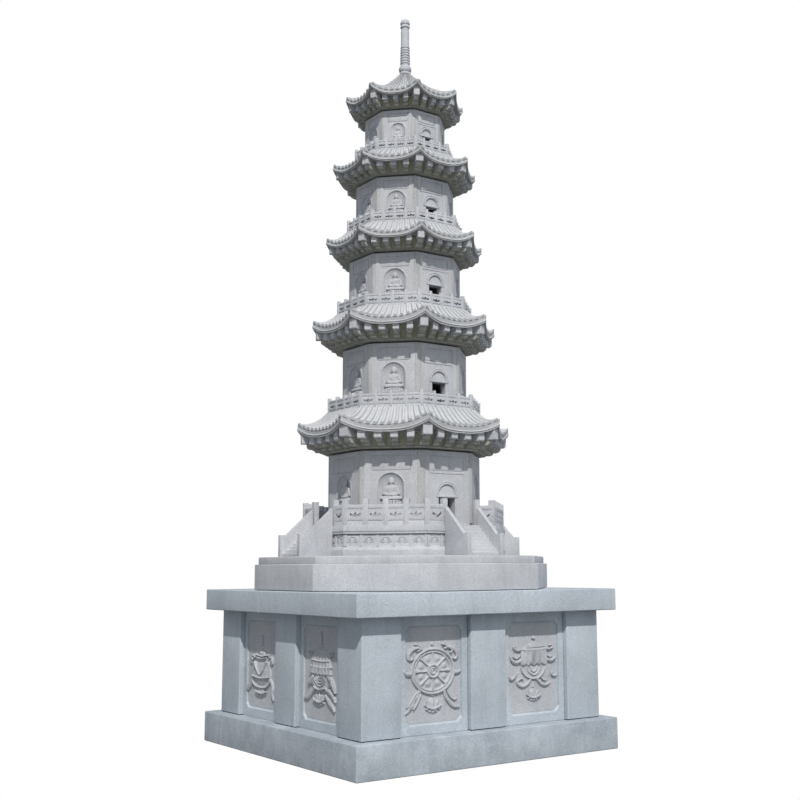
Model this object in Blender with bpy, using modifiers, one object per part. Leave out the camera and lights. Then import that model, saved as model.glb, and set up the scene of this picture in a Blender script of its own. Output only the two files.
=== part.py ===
# Stone pagoda: an octagonal tower of five storeys on a square pedestal, cut from light grey granite.
# Metres, +Z up. The origin is the middle of the base slab's underside. The front, with the first
# stair and the doors, faces -Y, and the left side faces -X.

import math

import bmesh
import bpy
from mathutils import Matrix, Vector

# Driving dimensions, in metres
JOINT = 0.0003  # open joint between two stones
OVERRUN = 0.05  # how far a cutter runs past the stone
SIDES = 8
HALF_STEP = math.pi / SIDES
FLAT = math.cos(HALF_STEP)  # an octagon's inner radius over its corner radius
HALF_SIDE = math.sin(HALF_STEP)  # half a side over the corner radius

SLAB_SIDE = 2.706
SLAB_TOP = 0.268
PEDESTAL_HALF = 1.24  # middle to the pillars' outer faces
PEDESTAL_TOP = 1.203
PILLAR_WIDTH = 0.37
MIDDLE_PILLAR_DEPTH = 0.20
PANEL_RECESS = 0.045  # how far the wall panels stand behind the pillars
PANEL_THICKNESS = 0.12
CAP_SIDE = 2.724
CAP_TOP = 1.392
BLOCK_CHAMFER = 0.006
PANEL_CHAMFER = 0.002

PLINTH_LOWER_RADIUS = 1.382
PLINTH_LOWER_TOP = 1.620
PLINTH_UPPER_RADIUS = 1.349
PLINTH_UPPER_TOP = 1.685
FLOOR_TOP = 1.950  # the platform's floor, where the first storey stands
PLATFORM_FLAT = 0.895  # middle to the platform's widest flat faces

# The platform's outline from its floor down: how far inside its widest faces, and height
PLATFORM_OUTLINE = (
    (0.000, 1.950),
    (0.000, 1.896),
    (0.006, 1.894),
    (0.006, 1.873),
    (0.022, 1.869),
    (0.022, 1.768),
    (0.012, 1.759),
    (0.002, 1.742),
    (0.000, 1.738),
)

RAIL_HEIGHT = 0.175
POST_HEIGHT = 0.226
RAIL_THICKNESS = 0.045
POST_WIDTH = 0.048
RAIL_END_LAP = 0.004  # how far the rail's ends stop inside the end posts
RAIL_RADIUS = 0.955
RAIL_WINDOWS = 4  # along one slanting side
RAIL_WINDOW_HEIGHT = 0.066
RAIL_WINDOW_WIDTH = 0.100
RAIL_END_WINDOW_WIDTH = 0.092  # in the short lengths beside the stairs
RAIL_WINDOW_MIDDLE = 0.088  # above the floor

STAIR_GAP_HALF = 0.152  # middle of a stair to the ends of the balustrade
CHEEK_OUTER = 0.195
CHEEK_THICKNESS = 0.040
STAIR_FOOT = 1.220  # middle to the front of the foot newels
TREADS = 9
STAIR_LAP = 0.010  # how far the flight runs into its cheeks
NEWEL_WIDTH = 0.048
NEWEL_HEIGHT = 0.190
CHEEK_FOOT_HEIGHT = 0.172
CHEEK_HEAD_HEIGHT = 0.420
LAST_NOSING = 0.020  # from the lowest riser to the front of the foot newels

NICHE_DEPTH_SHARE = 0.62  # of the wall's thickness
TYMPANUM_DEPTH = 0.012
TYMPANUM_RISE = 0.004  # how far the arch over a door stands above half a circle
LINTEL_HEIGHT = 0.020
ARC_STEPS = 8

# Each storey: corner radius, foot, top, wall thickness, niche width, foot and top, door width and top
STOREYS = (
    (0.724, 1.950, 2.612, 0.095, 0.233, 2.060, 2.412, 0.180, 2.199),
    (0.599, 3.000, 3.602, 0.085, 0.213, 3.085, 3.422, 0.150, 3.250),
    (0.544, 3.940, 4.462, 0.078, 0.198, 4.010, 4.309, 0.140, 4.166),
    (0.482, 4.750, 5.212, 0.070, 0.172, 4.815, 5.073, 0.125, 4.935),
    (0.398, 5.475, 5.897, 0.062, 0.132, 5.530, 5.768, 0.100, 5.650),
)

# Each roof: tip radius, tip top, middle of the eave's top, eave thickness, deck radius and deck top
ROOFS = (
    (1.020, 2.912, 2.827, 0.077, 0.752, 3.000),
    (0.892, 3.882, 3.802, 0.074, 0.672, 3.940),
    (0.772, 4.692, 4.615, 0.058, 0.584, 4.750),
    (0.712, 5.428, 5.358, 0.057, 0.512, 5.475),
    (0.592, 6.130, 6.048, 0.052, 0.070, 6.392),
)
EAVE_RAKE = 0.010  # how far the eave's foot stands back from its top
EAVE_STEPS = 6  # pieces of the eave's curve along one side
SLOPE_STEPS = 3
EAVE_CURVE = 2.6  # how late along the side the eave begins to rise
EAVE_FLARE = 0.035  # how far the corners reach out, as a share of the radius
SLOPE_CURVE = 1.45  # how hollow the slope is
SOFFIT_RISE = 0.012
SOFFIT_LIFT = 0.25  # of the eave's own lift, where the soffit meets the courses
CORBEL_TOPS = (0.20, 0.40, 0.61, 1.00)  # each course's top, as a share of their whole rise
CORBEL_REACH = 0.090  # from the tip's radius back to the last course
CORBEL_START = 0.015  # from the storey's corner radius to where the courses begin
CORBEL_MEET = 0.002  # how far the top course stands above the eave's foot
ROOF_LAP = 0.020  # how far the courses run up into the tiled body

# Each gallery: outer corner radius, rail top and post top, above the deck of the roof below
GALLERIES = (
    (0.735, 0.125, 0.150),
    (0.655, 0.118, 0.142),
    (0.567, 0.107, 0.130),
    (0.495, 0.100, 0.124),
)
GALLERY_THICKNESS = 0.036
GALLERY_WINDOWS = 4
GALLERY_BAND = 0.030  # solid band under and over the windows
GALLERY_PIER = 0.021  # half the stone left between two windows
GALLERY_POST = 0.034
GALLERY_POST_PROUD = 0.004  # how far the corner posts stand out past the rail

# The finial's outline from its top down to its foot: radius and height
FINIAL_OUTLINE = (
    (0.0200, 7.000),
    (0.0440, 6.972),
    (0.0470, 6.948),
    (0.0400, 6.942),
    (0.0490, 6.925),
    (0.0380, 6.905),
    (0.0370, 6.872),
    (0.0425, 6.705),
    (0.0400, 6.698),
    (0.0480, 6.670),
    (0.0430, 6.652),
    (0.0485, 6.630),
    (0.0435, 6.613),
    (0.0490, 6.596),
    (0.0440, 6.580),
    (0.0495, 6.563),
    (0.0445, 6.545),
    (0.0500, 6.525),
    (0.0440, 6.508),
)
BOWL_OUTLINE = (
    (0.0440, 6.508),
    (0.0560, 6.492),
    (0.0620, 6.468),
    (0.0560, 6.446),
    (0.0500, 6.440),
    (0.0560, 6.425),
    (0.0560, 6.405),
    (0.0480, 6.392),
)
FINIAL_STEPS = 12

STONES = {
    "granite": ((0.60, 0.62, 0.64, 1.0), 0.78),
    "pedestal_granite": ((0.53, 0.56, 0.59, 1.0), 0.72),
    "eave_granite": ((0.56, 0.57, 0.55, 1.0), 0.82),
}

for old in list(bpy.data.objects):
    bpy.data.objects.remove(old)

parts = bpy.data.collections.new("stone_pagoda")
cutters = bpy.data.collections.new("cutters")
bpy.context.scene.collection.children.link(parts)
bpy.context.scene.collection.children.link(cutters)


def stone(name, kind):
    colour, roughness = STONES[kind]
    made = bpy.data.materials.new(name + "_stone")
    made.use_nodes = True
    shader = made.node_tree.nodes["Principled BSDF"]
    shader.inputs["Base Color"].default_value = colour
    shader.inputs["Roughness"].default_value = roughness
    shader.inputs["Metallic"].default_value = 0.0
    return made


def add_part(name, mesh, kind="granite", turn=0.0):
    """One named piece, turned about the tower's axis."""
    obj = bpy.data.objects.new(name, mesh)
    obj.rotation_euler.z = turn
    mesh.materials.clear()
    mesh.materials.append(stone(name, kind))
    parts.objects.link(obj)
    return obj


def add_cutter(name, mesh):
    obj = bpy.data.objects.new(name, mesh)
    obj.hide_render = True
    obj.display_type = "WIRE"
    cutters.objects.link(obj)
    return obj


def boolean(obj, operation, other):
    modifier = obj.modifiers.new(operation.lower(), "BOOLEAN")
    modifier.operation = operation
    modifier.object = other
    modifier.solver = "EXACT"


def mesh_from(name, shape):
    """Closes a bmesh into a mesh with its faces outward."""
    mesh = bpy.data.meshes.new(name)
    bmesh.ops.recalc_face_normals(shape, faces=shape.faces)
    shape.to_mesh(mesh)
    shape.free()
    return mesh


def add_box(shape, low, high, matrix=None):
    """Adds a box between two corners to a bmesh."""
    low, high = Vector(low), Vector(high)
    size = high - low
    made = bmesh.ops.create_cube(shape, size=1.0)["verts"]
    bmesh.ops.scale(shape, vec=size, verts=made)
    bmesh.ops.translate(shape, vec=(low + high) / 2, verts=made)
    if matrix is not None:
        bmesh.ops.transform(shape, matrix=matrix, verts=made)


def block(name, low, high, kind, chamfer=BLOCK_CHAMFER, turn=0.0):
    shape = bmesh.new()
    add_box(shape, low, high)
    obj = add_part(name, mesh_from(name, shape), kind, turn)
    edge = obj.modifiers.new("arris", "BEVEL")
    edge.width = chamfer
    edge.segments = 1
    return obj


def turned_mesh(name, outline, closed):
    """The outline of a turned or octagonal stone, as a wire at +X, top to bottom."""
    shape = bmesh.new()
    points = [shape.verts.new((radius, 0.0, height)) for radius, height in outline]
    pairs = list(zip(points, points[1:]))
    if closed:
        pairs.append((points[-1], points[0]))
    for pair in pairs:
        shape.edges.new(pair)
    mesh = bpy.data.meshes.new(name)
    shape.to_mesh(mesh)
    shape.free()
    return mesh


def turn_outline(obj, steps):
    screw = obj.modifiers.new("turn", "SCREW")
    screw.steps = steps
    screw.render_steps = steps
    screw.use_merge_vertices = True
    screw.merge_threshold = 0.00001
    screw.use_smooth_shade = False


def octagon(name, outline, kind="granite"):
    """A solid eight-sided stone from its (corner radius, height) outline, top to bottom."""
    whole = [(0.0, outline[0][1]), *outline, (0.0, outline[-1][1])]
    obj = add_part(name, turned_mesh(name, whole, False), kind, HALF_STEP)
    turn_outline(obj, SIDES)
    return obj


def octagon_ring(name, radius, thickness, foot, top, kind="granite"):
    """An eight-sided wall, with the thickness measured square to its faces."""
    inner = radius - thickness / FLAT
    outline = [(radius, top), (radius, foot), (inner, foot), (inner, top)]
    obj = add_part(name, turned_mesh(name, outline, True), kind, HALF_STEP)
    turn_outline(obj, SIDES)
    return obj


def facing(direction):
    """Turns local +Y outward to one of the eight faces. Face 0 is the front, -Y, then to the right."""
    return Matrix.Rotation(math.pi + direction * 2 * HALF_STEP, 4, "Z")


def add_prism(shape, outline, near, far, matrix):
    """Adds a flat (x, z) outline, extruded from near to far along local +Y, to a bmesh."""
    points = [shape.verts.new((x, near, z)) for x, z in outline]
    face = shape.faces.new(points)
    made = bmesh.ops.extrude_face_region(shape, geom=[face])["geom"]
    moved = [item for item in made if isinstance(item, bmesh.types.BMVert)]
    bmesh.ops.translate(shape, vec=(0.0, far - near, 0.0), verts=moved)
    bmesh.ops.transform(shape, matrix=matrix, verts=points + moved)


def arch_outline(width, foot, top):
    """An upright opening under half a circle, as (x, z) points."""
    radius = width / 2
    outline = [(-radius, foot), (radius, foot)]
    for i in range(ARC_STEPS + 1):
        angle = math.pi * i / ARC_STEPS
        outline.append((radius * math.cos(angle), top - radius + radius * math.sin(angle)))
    return outline


def make_pedestal():
    half = SLAB_SIDE / 2
    block("base_slab", (-half, -half, 0.0), (half, half, SLAB_TOP), "pedestal_granite")
    foot = SLAB_TOP + JOINT
    names = ("front_right", "back_right", "back_left", "front_left")
    for i, place in enumerate(names):
        low = (PEDESTAL_HALF - PILLAR_WIDTH, -PEDESTAL_HALF, foot)
        high = (PEDESTAL_HALF, PILLAR_WIDTH - PEDESTAL_HALF, PEDESTAL_TOP)
        block("pedestal_corner_pillar_" + place, low, high, "pedestal_granite", turn=i * math.pi / 2)
    for i, place in enumerate(("front", "right", "back", "left")):
        half_pillar = PILLAR_WIDTH / 2
        low = (-half_pillar, -PEDESTAL_HALF, foot)
        high = (half_pillar, MIDDLE_PILLAR_DEPTH - PEDESTAL_HALF, PEDESTAL_TOP)
        block("pedestal_middle_pillar_" + place, low, high, "pedestal_granite", turn=i * math.pi / 2)
        for side, suffix in ((-1, "_panel_a"), (1, "_panel_b")):
            near = half_pillar + JOINT
            far = PEDESTAL_HALF - PILLAR_WIDTH - JOINT
            face = PANEL_RECESS - PEDESTAL_HALF
            low = (min(side * near, side * far), face, foot)
            high = (max(side * near, side * far), face + PANEL_THICKNESS, PEDESTAL_TOP)
            name = "pedestal_" + place + suffix
            block(name, low, high, "pedestal_granite", PANEL_CHAMFER, i * math.pi / 2)
    half = CAP_SIDE / 2
    low = (-half, -half, PEDESTAL_TOP + JOINT)
    block("pedestal_cap", low, (half, half, CAP_TOP), "pedestal_granite")


def make_plinth_and_platform():
    edge = BLOCK_CHAMFER
    for name, radius, foot, top in (
        ("plinth_lower", PLINTH_LOWER_RADIUS, CAP_TOP, PLINTH_LOWER_TOP),
        ("plinth_upper", PLINTH_UPPER_RADIUS, PLINTH_LOWER_TOP, PLINTH_UPPER_TOP),
    ):
        outline = [(radius - edge, top), (radius, top - edge), (radius, foot + JOINT)]
        octagon(name, outline)
    outline = [((PLATFORM_FLAT - inset) / FLAT, height) for inset, height in PLATFORM_OUTLINE]
    outline.append((PLATFORM_FLAT / FLAT, PLINTH_UPPER_TOP + JOINT))
    octagon("platform", outline)


def make_platform_balustrade():
    """Four lengths of balustrade, each round one slanting side, from stair to stair."""
    foot = FLOOR_TOP + JOINT
    post_middle = RAIL_RADIUS * FLAT - POST_WIDTH / 2
    rail_outer = (post_middle + RAIL_THICKNESS / 2) / FLAT
    side_half = (post_middle / FLAT) * HALF_SIDE
    posts = bmesh.new()
    windows = bmesh.new()
    middle = foot + RAIL_WINDOW_MIDDLE
    window_low = middle - RAIL_WINDOW_HEIGHT / 2
    window_high = middle + RAIL_WINDOW_HEIGHT / 2
    slanting = facing(-1)
    bay = 2 * side_half / RAIL_WINDOWS
    near = post_middle - OVERRUN
    far = post_middle + OVERRUN
    for i in range(RAIL_WINDOWS):
        x = (i + 0.5) * bay - side_half
        low = (x - RAIL_WINDOW_WIDTH / 2, near, window_low)
        add_box(windows, low, (x + RAIL_WINDOW_WIDTH / 2, far, window_high), slanting)
    for i in range(1, RAIL_WINDOWS):
        x = i * bay - side_half
        add_post(posts, x, post_middle, foot, slanting)
    stub_middle = (STAIR_GAP_HALF + POST_WIDTH + side_half - POST_WIDTH / 2) / 2
    for direction, sign in ((0, 1), (-2, -1)):
        matrix = facing(direction)
        x = sign * stub_middle
        low = (x - RAIL_END_WINDOW_WIDTH / 2, near, window_low)
        add_box(windows, low, (x + RAIL_END_WINDOW_WIDTH / 2, far, window_high), matrix)
        add_post(posts, sign * (STAIR_GAP_HALF + POST_WIDTH / 2), post_middle, foot, matrix)
    for corner in (-1, 1):
        turn = Matrix.Rotation(corner * HALF_STEP, 4, "Z") @ facing(-1)
        add_post(posts, 0.0, post_middle / FLAT, foot, turn)
    window_cutter = add_cutter("rail_windows", mesh_from("rail_windows", windows))
    post_shape = add_cutter("rail_posts", mesh_from("rail_posts", posts))
    quarter = bmesh.new()
    end = -STAIR_GAP_HALF - RAIL_END_LAP
    add_box(quarter, (-SLAB_SIDE, -SLAB_SIDE, 0.0), (end, end, foot + POST_HEIGHT))
    quarter_shape = add_cutter("rail_quarter", mesh_from("rail_quarter", quarter))
    names = ("front_left", "front_right", "back_right", "back_left")
    first = octagon_ring(
        "platform_balustrade_front_left", rail_outer, RAIL_THICKNESS, foot, foot + RAIL_HEIGHT
    )
    boolean(first, "INTERSECT", quarter_shape)
    boolean(first, "DIFFERENCE", window_cutter)
    boolean(first, "UNION", post_shape)
    bpy.context.view_layer.update()
    graph = bpy.context.evaluated_depsgraph_get()
    made = bpy.data.meshes.new_from_object(first.evaluated_get(graph))
    made.transform(first.matrix_world)
    bpy.data.objects.remove(first)
    for i, place in enumerate(names):
        add_part("platform_balustrade_" + place, made.copy(), turn=i * math.pi / 2)
    for used in (window_cutter, post_shape, quarter_shape):
        bpy.data.objects.remove(used)


def add_post(shape, x, y, foot, matrix):
    half = POST_WIDTH / 2
    add_box(shape, (x - half, y - half, foot), (x + half, y + half, foot + POST_HEIGHT), matrix)


def stair_steps(foot, head):
    """The flight's outline, as (distance in front of the axis, height) points."""
    rise = (FLOOR_TOP - foot) / TREADS
    run = (STAIR_FOOT - LAST_NOSING - PLATFORM_FLAT) / TREADS
    steps = [(head, foot), (head, FLOOR_TOP)]
    for i in range(TREADS):
        reach = head + (i + 1) * run
        steps.append((reach, FLOOR_TOP - i * rise))
        if i < TREADS - 1:
            steps.append((reach, FLOOR_TOP - (i + 1) * rise))
    steps.append((head + TREADS * run, foot))
    return steps


def make_stairs():
    """On each of the four square faces, a small flight carved in one stone with its sloping cheeks."""
    foot = PLINTH_UPPER_TOP + JOINT
    head = PLATFORM_FLAT + JOINT
    newel_back = STAIR_FOOT - NEWEL_WIDTH
    cheek = [
        (head, foot),
        (head, foot + CHEEK_HEAD_HEIGHT),
        (newel_back, foot + CHEEK_FOOT_HEIGHT),
        (newel_back, foot + NEWEL_HEIGHT),
        (STAIR_FOOT, foot + NEWEL_HEIGHT),
        (STAIR_FOOT, foot),
    ]
    # local +X of the outlines points to the front, and local +Y to the right
    outward = Matrix.Rotation(-math.pi / 2, 4, "Z")
    inner = CHEEK_OUTER - CHEEK_THICKNESS
    flight = bmesh.new()
    add_prism(flight, stair_steps(foot, head), -inner - STAIR_LAP, inner + STAIR_LAP, outward)
    flight_mesh = mesh_from("flight", flight)
    for i, place in enumerate(("front", "right", "back", "left")):
        turn = i * math.pi / 2
        stair = add_part("stair_" + place, flight_mesh.copy(), turn=turn)
        for side, low_x in (("_left", -CHEEK_OUTER), ("_right", inner)):
            shape = bmesh.new()
            add_prism(shape, cheek, low_x, low_x + CHEEK_THICKNESS, outward)
            side_stone = add_cutter("cheek_" + place + side, mesh_from("cheek_" + place + side, shape))
            side_stone.rotation_euler.z = turn
            boolean(stair, "UNION", side_stone)


def make_storey(number, storey):
    """A hollow storey: doors cut through its front and back, and an arched niche in each other face."""
    radius, foot, top, wall, niche_width, niche_foot, niche_top, door_width, door_top = storey
    name = "storey_%d_wall" % number
    obj = octagon_ring(name, radius, wall, foot + JOINT, top)
    flat = radius * FLAT
    niches = bmesh.new()
    near = flat - wall * NICHE_DEPTH_SHARE
    niche = arch_outline(niche_width, niche_foot, niche_top)
    for direction in (1, 2, 3, 5, 6, 7):
        add_prism(niches, niche, near, flat + OVERRUN, facing(direction))
    boolean(obj, "DIFFERENCE", add_cutter(name + "_niches", mesh_from(name + "_niches", niches)))
    heads = bmesh.new()
    sill = door_top + LINTEL_HEIGHT
    head = arch_outline(door_width, sill, sill + door_width / 2 + TYMPANUM_RISE)
    for direction in (0, 4):
        add_prism(heads, head, flat - TYMPANUM_DEPTH, flat + OVERRUN, facing(direction))
    boolean(obj, "DIFFERENCE", add_cutter(name + "_door_heads", mesh_from(name + "_door_heads", heads)))
    door = bmesh.new()
    half = door_width / 2
    add_box(door, (-half, -radius - OVERRUN, foot - OVERRUN), (half, radius + OVERRUN, door_top))
    boolean(obj, "DIFFERENCE", add_cutter(name + "_doors", mesh_from(name + "_doors", door)))


def eave_lift(along):
    """How far the eave has risen, 0 to 1, at a place from -1 to 1 along one side."""
    return abs(along) ** EAVE_CURVE


def roof_ring(shape, radius, height, lift, flare):
    """One ring of points round a roof, lifted and flared towards the eight corners."""
    ring = []
    for side in range(SIDES):
        matrix = facing(side)
        for i in range(EAVE_STEPS):
            along = 1 - 2 * i / EAVE_STEPS
            rise = eave_lift(along)
            point = Vector((along * radius * HALF_SIDE, radius * FLAT, height + lift * rise))
            point.x *= 1 + flare * rise
            point.y *= 1 + flare * rise
            ring.append(shape.verts.new(matrix @ point))
    return ring


def join_rings(shape, upper, lower):
    count = len(upper)
    for i in range(count):
        j = (i + 1) % count
        shape.faces.new((upper[i], upper[j], lower[j], lower[i]))


def make_roof(number, roof, wall_radius, wall_top):
    """One stone: the tiled slope with its raised corners, the eave, and the stepped courses below."""
    tip_radius, tip_top, middle_top, thickness, deck_radius, deck_top = roof
    name = "roof_%d" % number
    eave_radius = tip_radius / (1 + EAVE_FLARE)
    lift = tip_top - middle_top
    shape = bmesh.new()
    rings = []
    for i in range(SLOPE_STEPS + 1):
        share = 1 - i / SLOPE_STEPS
        radius = eave_radius + (deck_radius - eave_radius) * share
        height = middle_top + (deck_top - middle_top) * share**SLOPE_CURVE
        fade = (1 - share) ** 2
        rings.append(roof_ring(shape, radius, height, lift * fade, EAVE_FLARE * fade))
    under = middle_top - thickness
    rings.append(roof_ring(shape, eave_radius - EAVE_RAKE, under, lift, EAVE_FLARE))
    soffit = tip_radius - CORBEL_REACH
    rings.append(roof_ring(shape, soffit - ROOF_LAP, under + SOFFIT_RISE, lift * SOFFIT_LIFT, 0.0))
    for upper, lower in zip(rings, rings[1:]):
        join_rings(shape, upper, lower)
    shape.faces.new(rings[0])
    shape.faces.new(list(reversed(rings[-1])))
    obj = add_part(name, mesh_from(name, shape), "eave_granite")
    foot = wall_top + JOINT
    rise = under + CORBEL_MEET - foot
    start = wall_radius + CORBEL_START
    reach = (soffit - start) / len(CORBEL_TOPS)
    head = middle_top - ROOF_LAP
    courses = [(0.0, head), (soffit - 1.5 * ROOF_LAP, head)]
    for tier in range(len(CORBEL_TOPS), 0, -1):
        radius = start + tier * reach
        below = CORBEL_TOPS[tier - 2] if tier > 1 else 0.0
        courses.append((radius, foot + CORBEL_TOPS[tier - 1] * rise))
        courses.append((radius, foot + below * rise))
    courses.append((0.0, foot))
    course_obj = add_cutter(name + "_courses", turned_mesh(name + "_courses", courses, False))
    course_obj.rotation_euler.z = HALF_STEP
    turn_outline(course_obj, SIDES)
    boolean(obj, "UNION", course_obj)


def make_gallery(number, gallery, deck):
    """A low pierced balustrade round the deck of a roof."""
    radius, rail, post = gallery
    name = "gallery_%d" % number
    foot = deck + JOINT
    rail_radius = radius - GALLERY_POST_PROUD
    obj = octagon_ring(name, rail_radius, GALLERY_THICKNESS, foot, foot + rail)
    flat = rail_radius * FLAT - GALLERY_THICKNESS / 2
    side_half = flat / FLAT * HALF_SIDE
    bay = 2 * side_half / GALLERY_WINDOWS
    windows = bmesh.new()
    posts = bmesh.new()
    for side in range(SIDES):
        matrix = facing(side)
        for i in range(GALLERY_WINDOWS):
            x = (i + 0.5) * bay - side_half
            half = bay / 2 - GALLERY_PIER
            low = (x - half, flat - OVERRUN, foot + GALLERY_BAND)
            add_box(windows, low, (x + half, flat + OVERRUN, foot + rail - GALLERY_BAND), matrix)
        corner = Matrix.Rotation(HALF_STEP, 4, "Z") @ matrix
        low = (-GALLERY_POST / 2, radius - GALLERY_POST, foot)
        add_box(posts, low, (GALLERY_POST / 2, radius, foot + post), corner)
    boolean(obj, "DIFFERENCE", add_cutter(name + "_windows", mesh_from(name + "_windows", windows)))
    boolean(obj, "UNION", add_cutter(name + "_posts", mesh_from(name + "_posts", posts)))


def make_finial():
    for name, outline in (("finial_spire", FINIAL_OUTLINE), ("finial_bowl", BOWL_OUTLINE)):
        foot_radius, foot = outline[-1]
        whole = [(0.0, outline[0][1]), *outline[:-1], (foot_radius, foot + JOINT), (0.0, foot + JOINT)]
        obj = add_part(name, turned_mesh(name, whole, False))
        turn_outline(obj, FINIAL_STEPS)


make_pedestal()
make_plinth_and_platform()
make_platform_balustrade()
make_stairs()
for index, storey_sizes in enumerate(STOREYS):
    make_storey(index + 1, storey_sizes)
    make_roof(index + 1, ROOFS[index], storey_sizes[0], storey_sizes[2])
for index, gallery_sizes in enumerate(GALLERIES):
    make_gallery(index + 2, gallery_sizes, ROOFS[index][-1])
make_finial()
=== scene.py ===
import math

import bpy
from mathutils import Matrix, Vector


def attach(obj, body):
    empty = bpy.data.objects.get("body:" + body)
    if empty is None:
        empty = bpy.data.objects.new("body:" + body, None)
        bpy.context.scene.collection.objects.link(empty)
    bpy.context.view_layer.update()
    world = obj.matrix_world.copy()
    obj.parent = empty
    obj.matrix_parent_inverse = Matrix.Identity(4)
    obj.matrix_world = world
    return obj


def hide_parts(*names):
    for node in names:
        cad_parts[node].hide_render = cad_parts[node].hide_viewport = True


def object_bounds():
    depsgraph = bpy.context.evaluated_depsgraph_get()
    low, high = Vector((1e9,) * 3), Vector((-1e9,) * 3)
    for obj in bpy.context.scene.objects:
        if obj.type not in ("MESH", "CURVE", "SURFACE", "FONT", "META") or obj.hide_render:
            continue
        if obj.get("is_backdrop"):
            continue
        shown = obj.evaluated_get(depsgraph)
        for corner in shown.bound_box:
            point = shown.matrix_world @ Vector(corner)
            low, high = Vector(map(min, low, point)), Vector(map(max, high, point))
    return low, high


# Carved granite pagoda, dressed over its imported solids. Metres, front towards -Y.
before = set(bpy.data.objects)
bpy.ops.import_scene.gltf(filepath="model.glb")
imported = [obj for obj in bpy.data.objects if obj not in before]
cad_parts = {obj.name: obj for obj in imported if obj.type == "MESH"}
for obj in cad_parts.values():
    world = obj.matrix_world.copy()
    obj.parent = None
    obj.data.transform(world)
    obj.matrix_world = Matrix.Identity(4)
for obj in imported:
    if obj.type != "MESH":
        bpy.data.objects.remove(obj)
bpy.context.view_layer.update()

sides = 8
halfStep = math.pi / sides
flatShare = math.cos(halfStep)  # an octagon's inner radius over its corner radius
sideShare = math.sin(halfStep)
jointGap = 0.0003
quarterTurns = [i * math.pi / 2 for i in range(4)]
eighthTurns = [i * math.pi / 4 for i in range(sides)]
places = ("front", "right", "back", "left")


# Modelling tools

def pickOnly(*pieces):
    if bpy.context.mode != "OBJECT":
        bpy.ops.object.mode_set(mode="OBJECT")
    bpy.ops.object.select_all(action="DESELECT")
    for piece in pieces:
        piece.select_set(True)
    if pieces:
        bpy.context.view_layer.objects.active = pieces[0]


def openEdit(piece, action="SELECT"):
    pickOnly(piece)
    bpy.ops.object.mode_set(mode="EDIT")
    bpy.ops.mesh.select_all(action=action)


def closeEdit():
    bpy.ops.mesh.select_all(action="SELECT")
    bpy.ops.mesh.normals_make_consistent(inside=False)
    bpy.ops.object.mode_set(mode="OBJECT")


def named(piece, name):
    piece.name = name
    piece.data.name = name
    return piece


def settled():
    # the new primitive with its place, turn and scale taken into its mesh
    bpy.ops.object.transform_apply(location=True, rotation=True, scale=True)
    return bpy.context.object


def joinAll(name, pieces):
    pickOnly(*pieces)
    if len(pieces) > 1:
        bpy.ops.object.join()
    return named(bpy.context.object, name)


def useModifier(piece, kind, **settings):
    pickOnly(piece)
    modifier = piece.modifiers.new(kind.title(), kind)
    for key, value in settings.items():
        setattr(modifier, key, value)
    bpy.ops.object.modifier_apply(modifier=modifier.name)


def softenEdges(piece, width, segments=2, angle=35):
    useModifier(piece, "BEVEL", width=width, segments=segments, limit_method="ANGLE",
                angle_limit=math.radians(angle))


def shadeByAngle(piece, angle=35):
    pickOnly(piece)
    bpy.ops.object.shade_smooth_by_angle(angle=math.radians(angle))


def boolean(piece, cutter, operation="DIFFERENCE"):
    useModifier(piece, "BOOLEAN", operation=operation, object=cutter, solver="EXACT")
    bpy.data.objects.remove(cutter)


def copyOf(piece, matrix):
    twin = bpy.data.objects.new(piece.name, piece.data.copy())
    twin.data.transform(matrix)
    bpy.context.scene.collection.objects.link(twin)
    return twin


def aboutAxis(turn):
    return Matrix.Rotation(turn, 4, "Z")


def ringOf(name, piece, turns):
    # the piece and its copies turned about the tower's axis, as one
    twins = [copyOf(piece, aboutAxis(turn)) for turn in turns[1:]]
    piece.data.transform(aboutAxis(turns[0]))
    return joinAll(name, [piece, *twins])


def facing(direction):
    # turns local +Y outward to a face of the tower: 0 is the front, then to the right
    return aboutAxis(math.pi + direction * 2 * halfStep)


def plate(outline, stations, matrix=None):
    # a flat (x, z) outline at the first station along Y, drawn out through the others
    pickOnly()
    bpy.ops.mesh.primitive_circle_add(vertices=len(outline), fill_type="NGON")
    piece = bpy.context.object
    for corner, (x, z) in zip(piece.data.vertices, outline):
        corner.co = (x, stations[0], z)
    openEdit(piece)
    for near, far in zip(stations, stations[1:]):
        bpy.ops.mesh.extrude_region_move(TRANSFORM_OT_translate={"value": (0, far - near, 0)})
    closeEdit()
    if matrix is not None:
        piece.data.transform(matrix)
    return piece


def block(low, high, matrix=None):
    pickOnly()
    middle = [(a + b) / 2 for a, b in zip(low, high)]
    size = [b - a for a, b in zip(low, high)]
    bpy.ops.mesh.primitive_cube_add(size=1, location=middle, scale=size)
    piece = settled()
    if matrix is not None:
        piece.data.transform(matrix)
    return piece


def raised(name, steps, profile):
    # a disc drawn up ring by ring through (radius, height) points, from the foot up
    pickOnly()
    radius, height = profile[0]
    bpy.ops.mesh.primitive_circle_add(vertices=steps, radius=radius, fill_type="NGON",
                                      location=(0, 0, height), rotation=(0, 0, math.pi / steps))
    piece = named(settled(), name)
    openEdit(piece)
    for nextRadius, nextHeight in profile[1:]:
        lift = nextHeight - height
        bpy.ops.mesh.extrude_region_move(TRANSFORM_OT_translate={"value": (0, 0, lift)})
        share = nextRadius / radius
        bpy.ops.transform.resize(value=(share, share, 1), center_override=(0, 0, nextHeight))
        radius, height = nextRadius, nextHeight
    closeEdit()
    return piece


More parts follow.
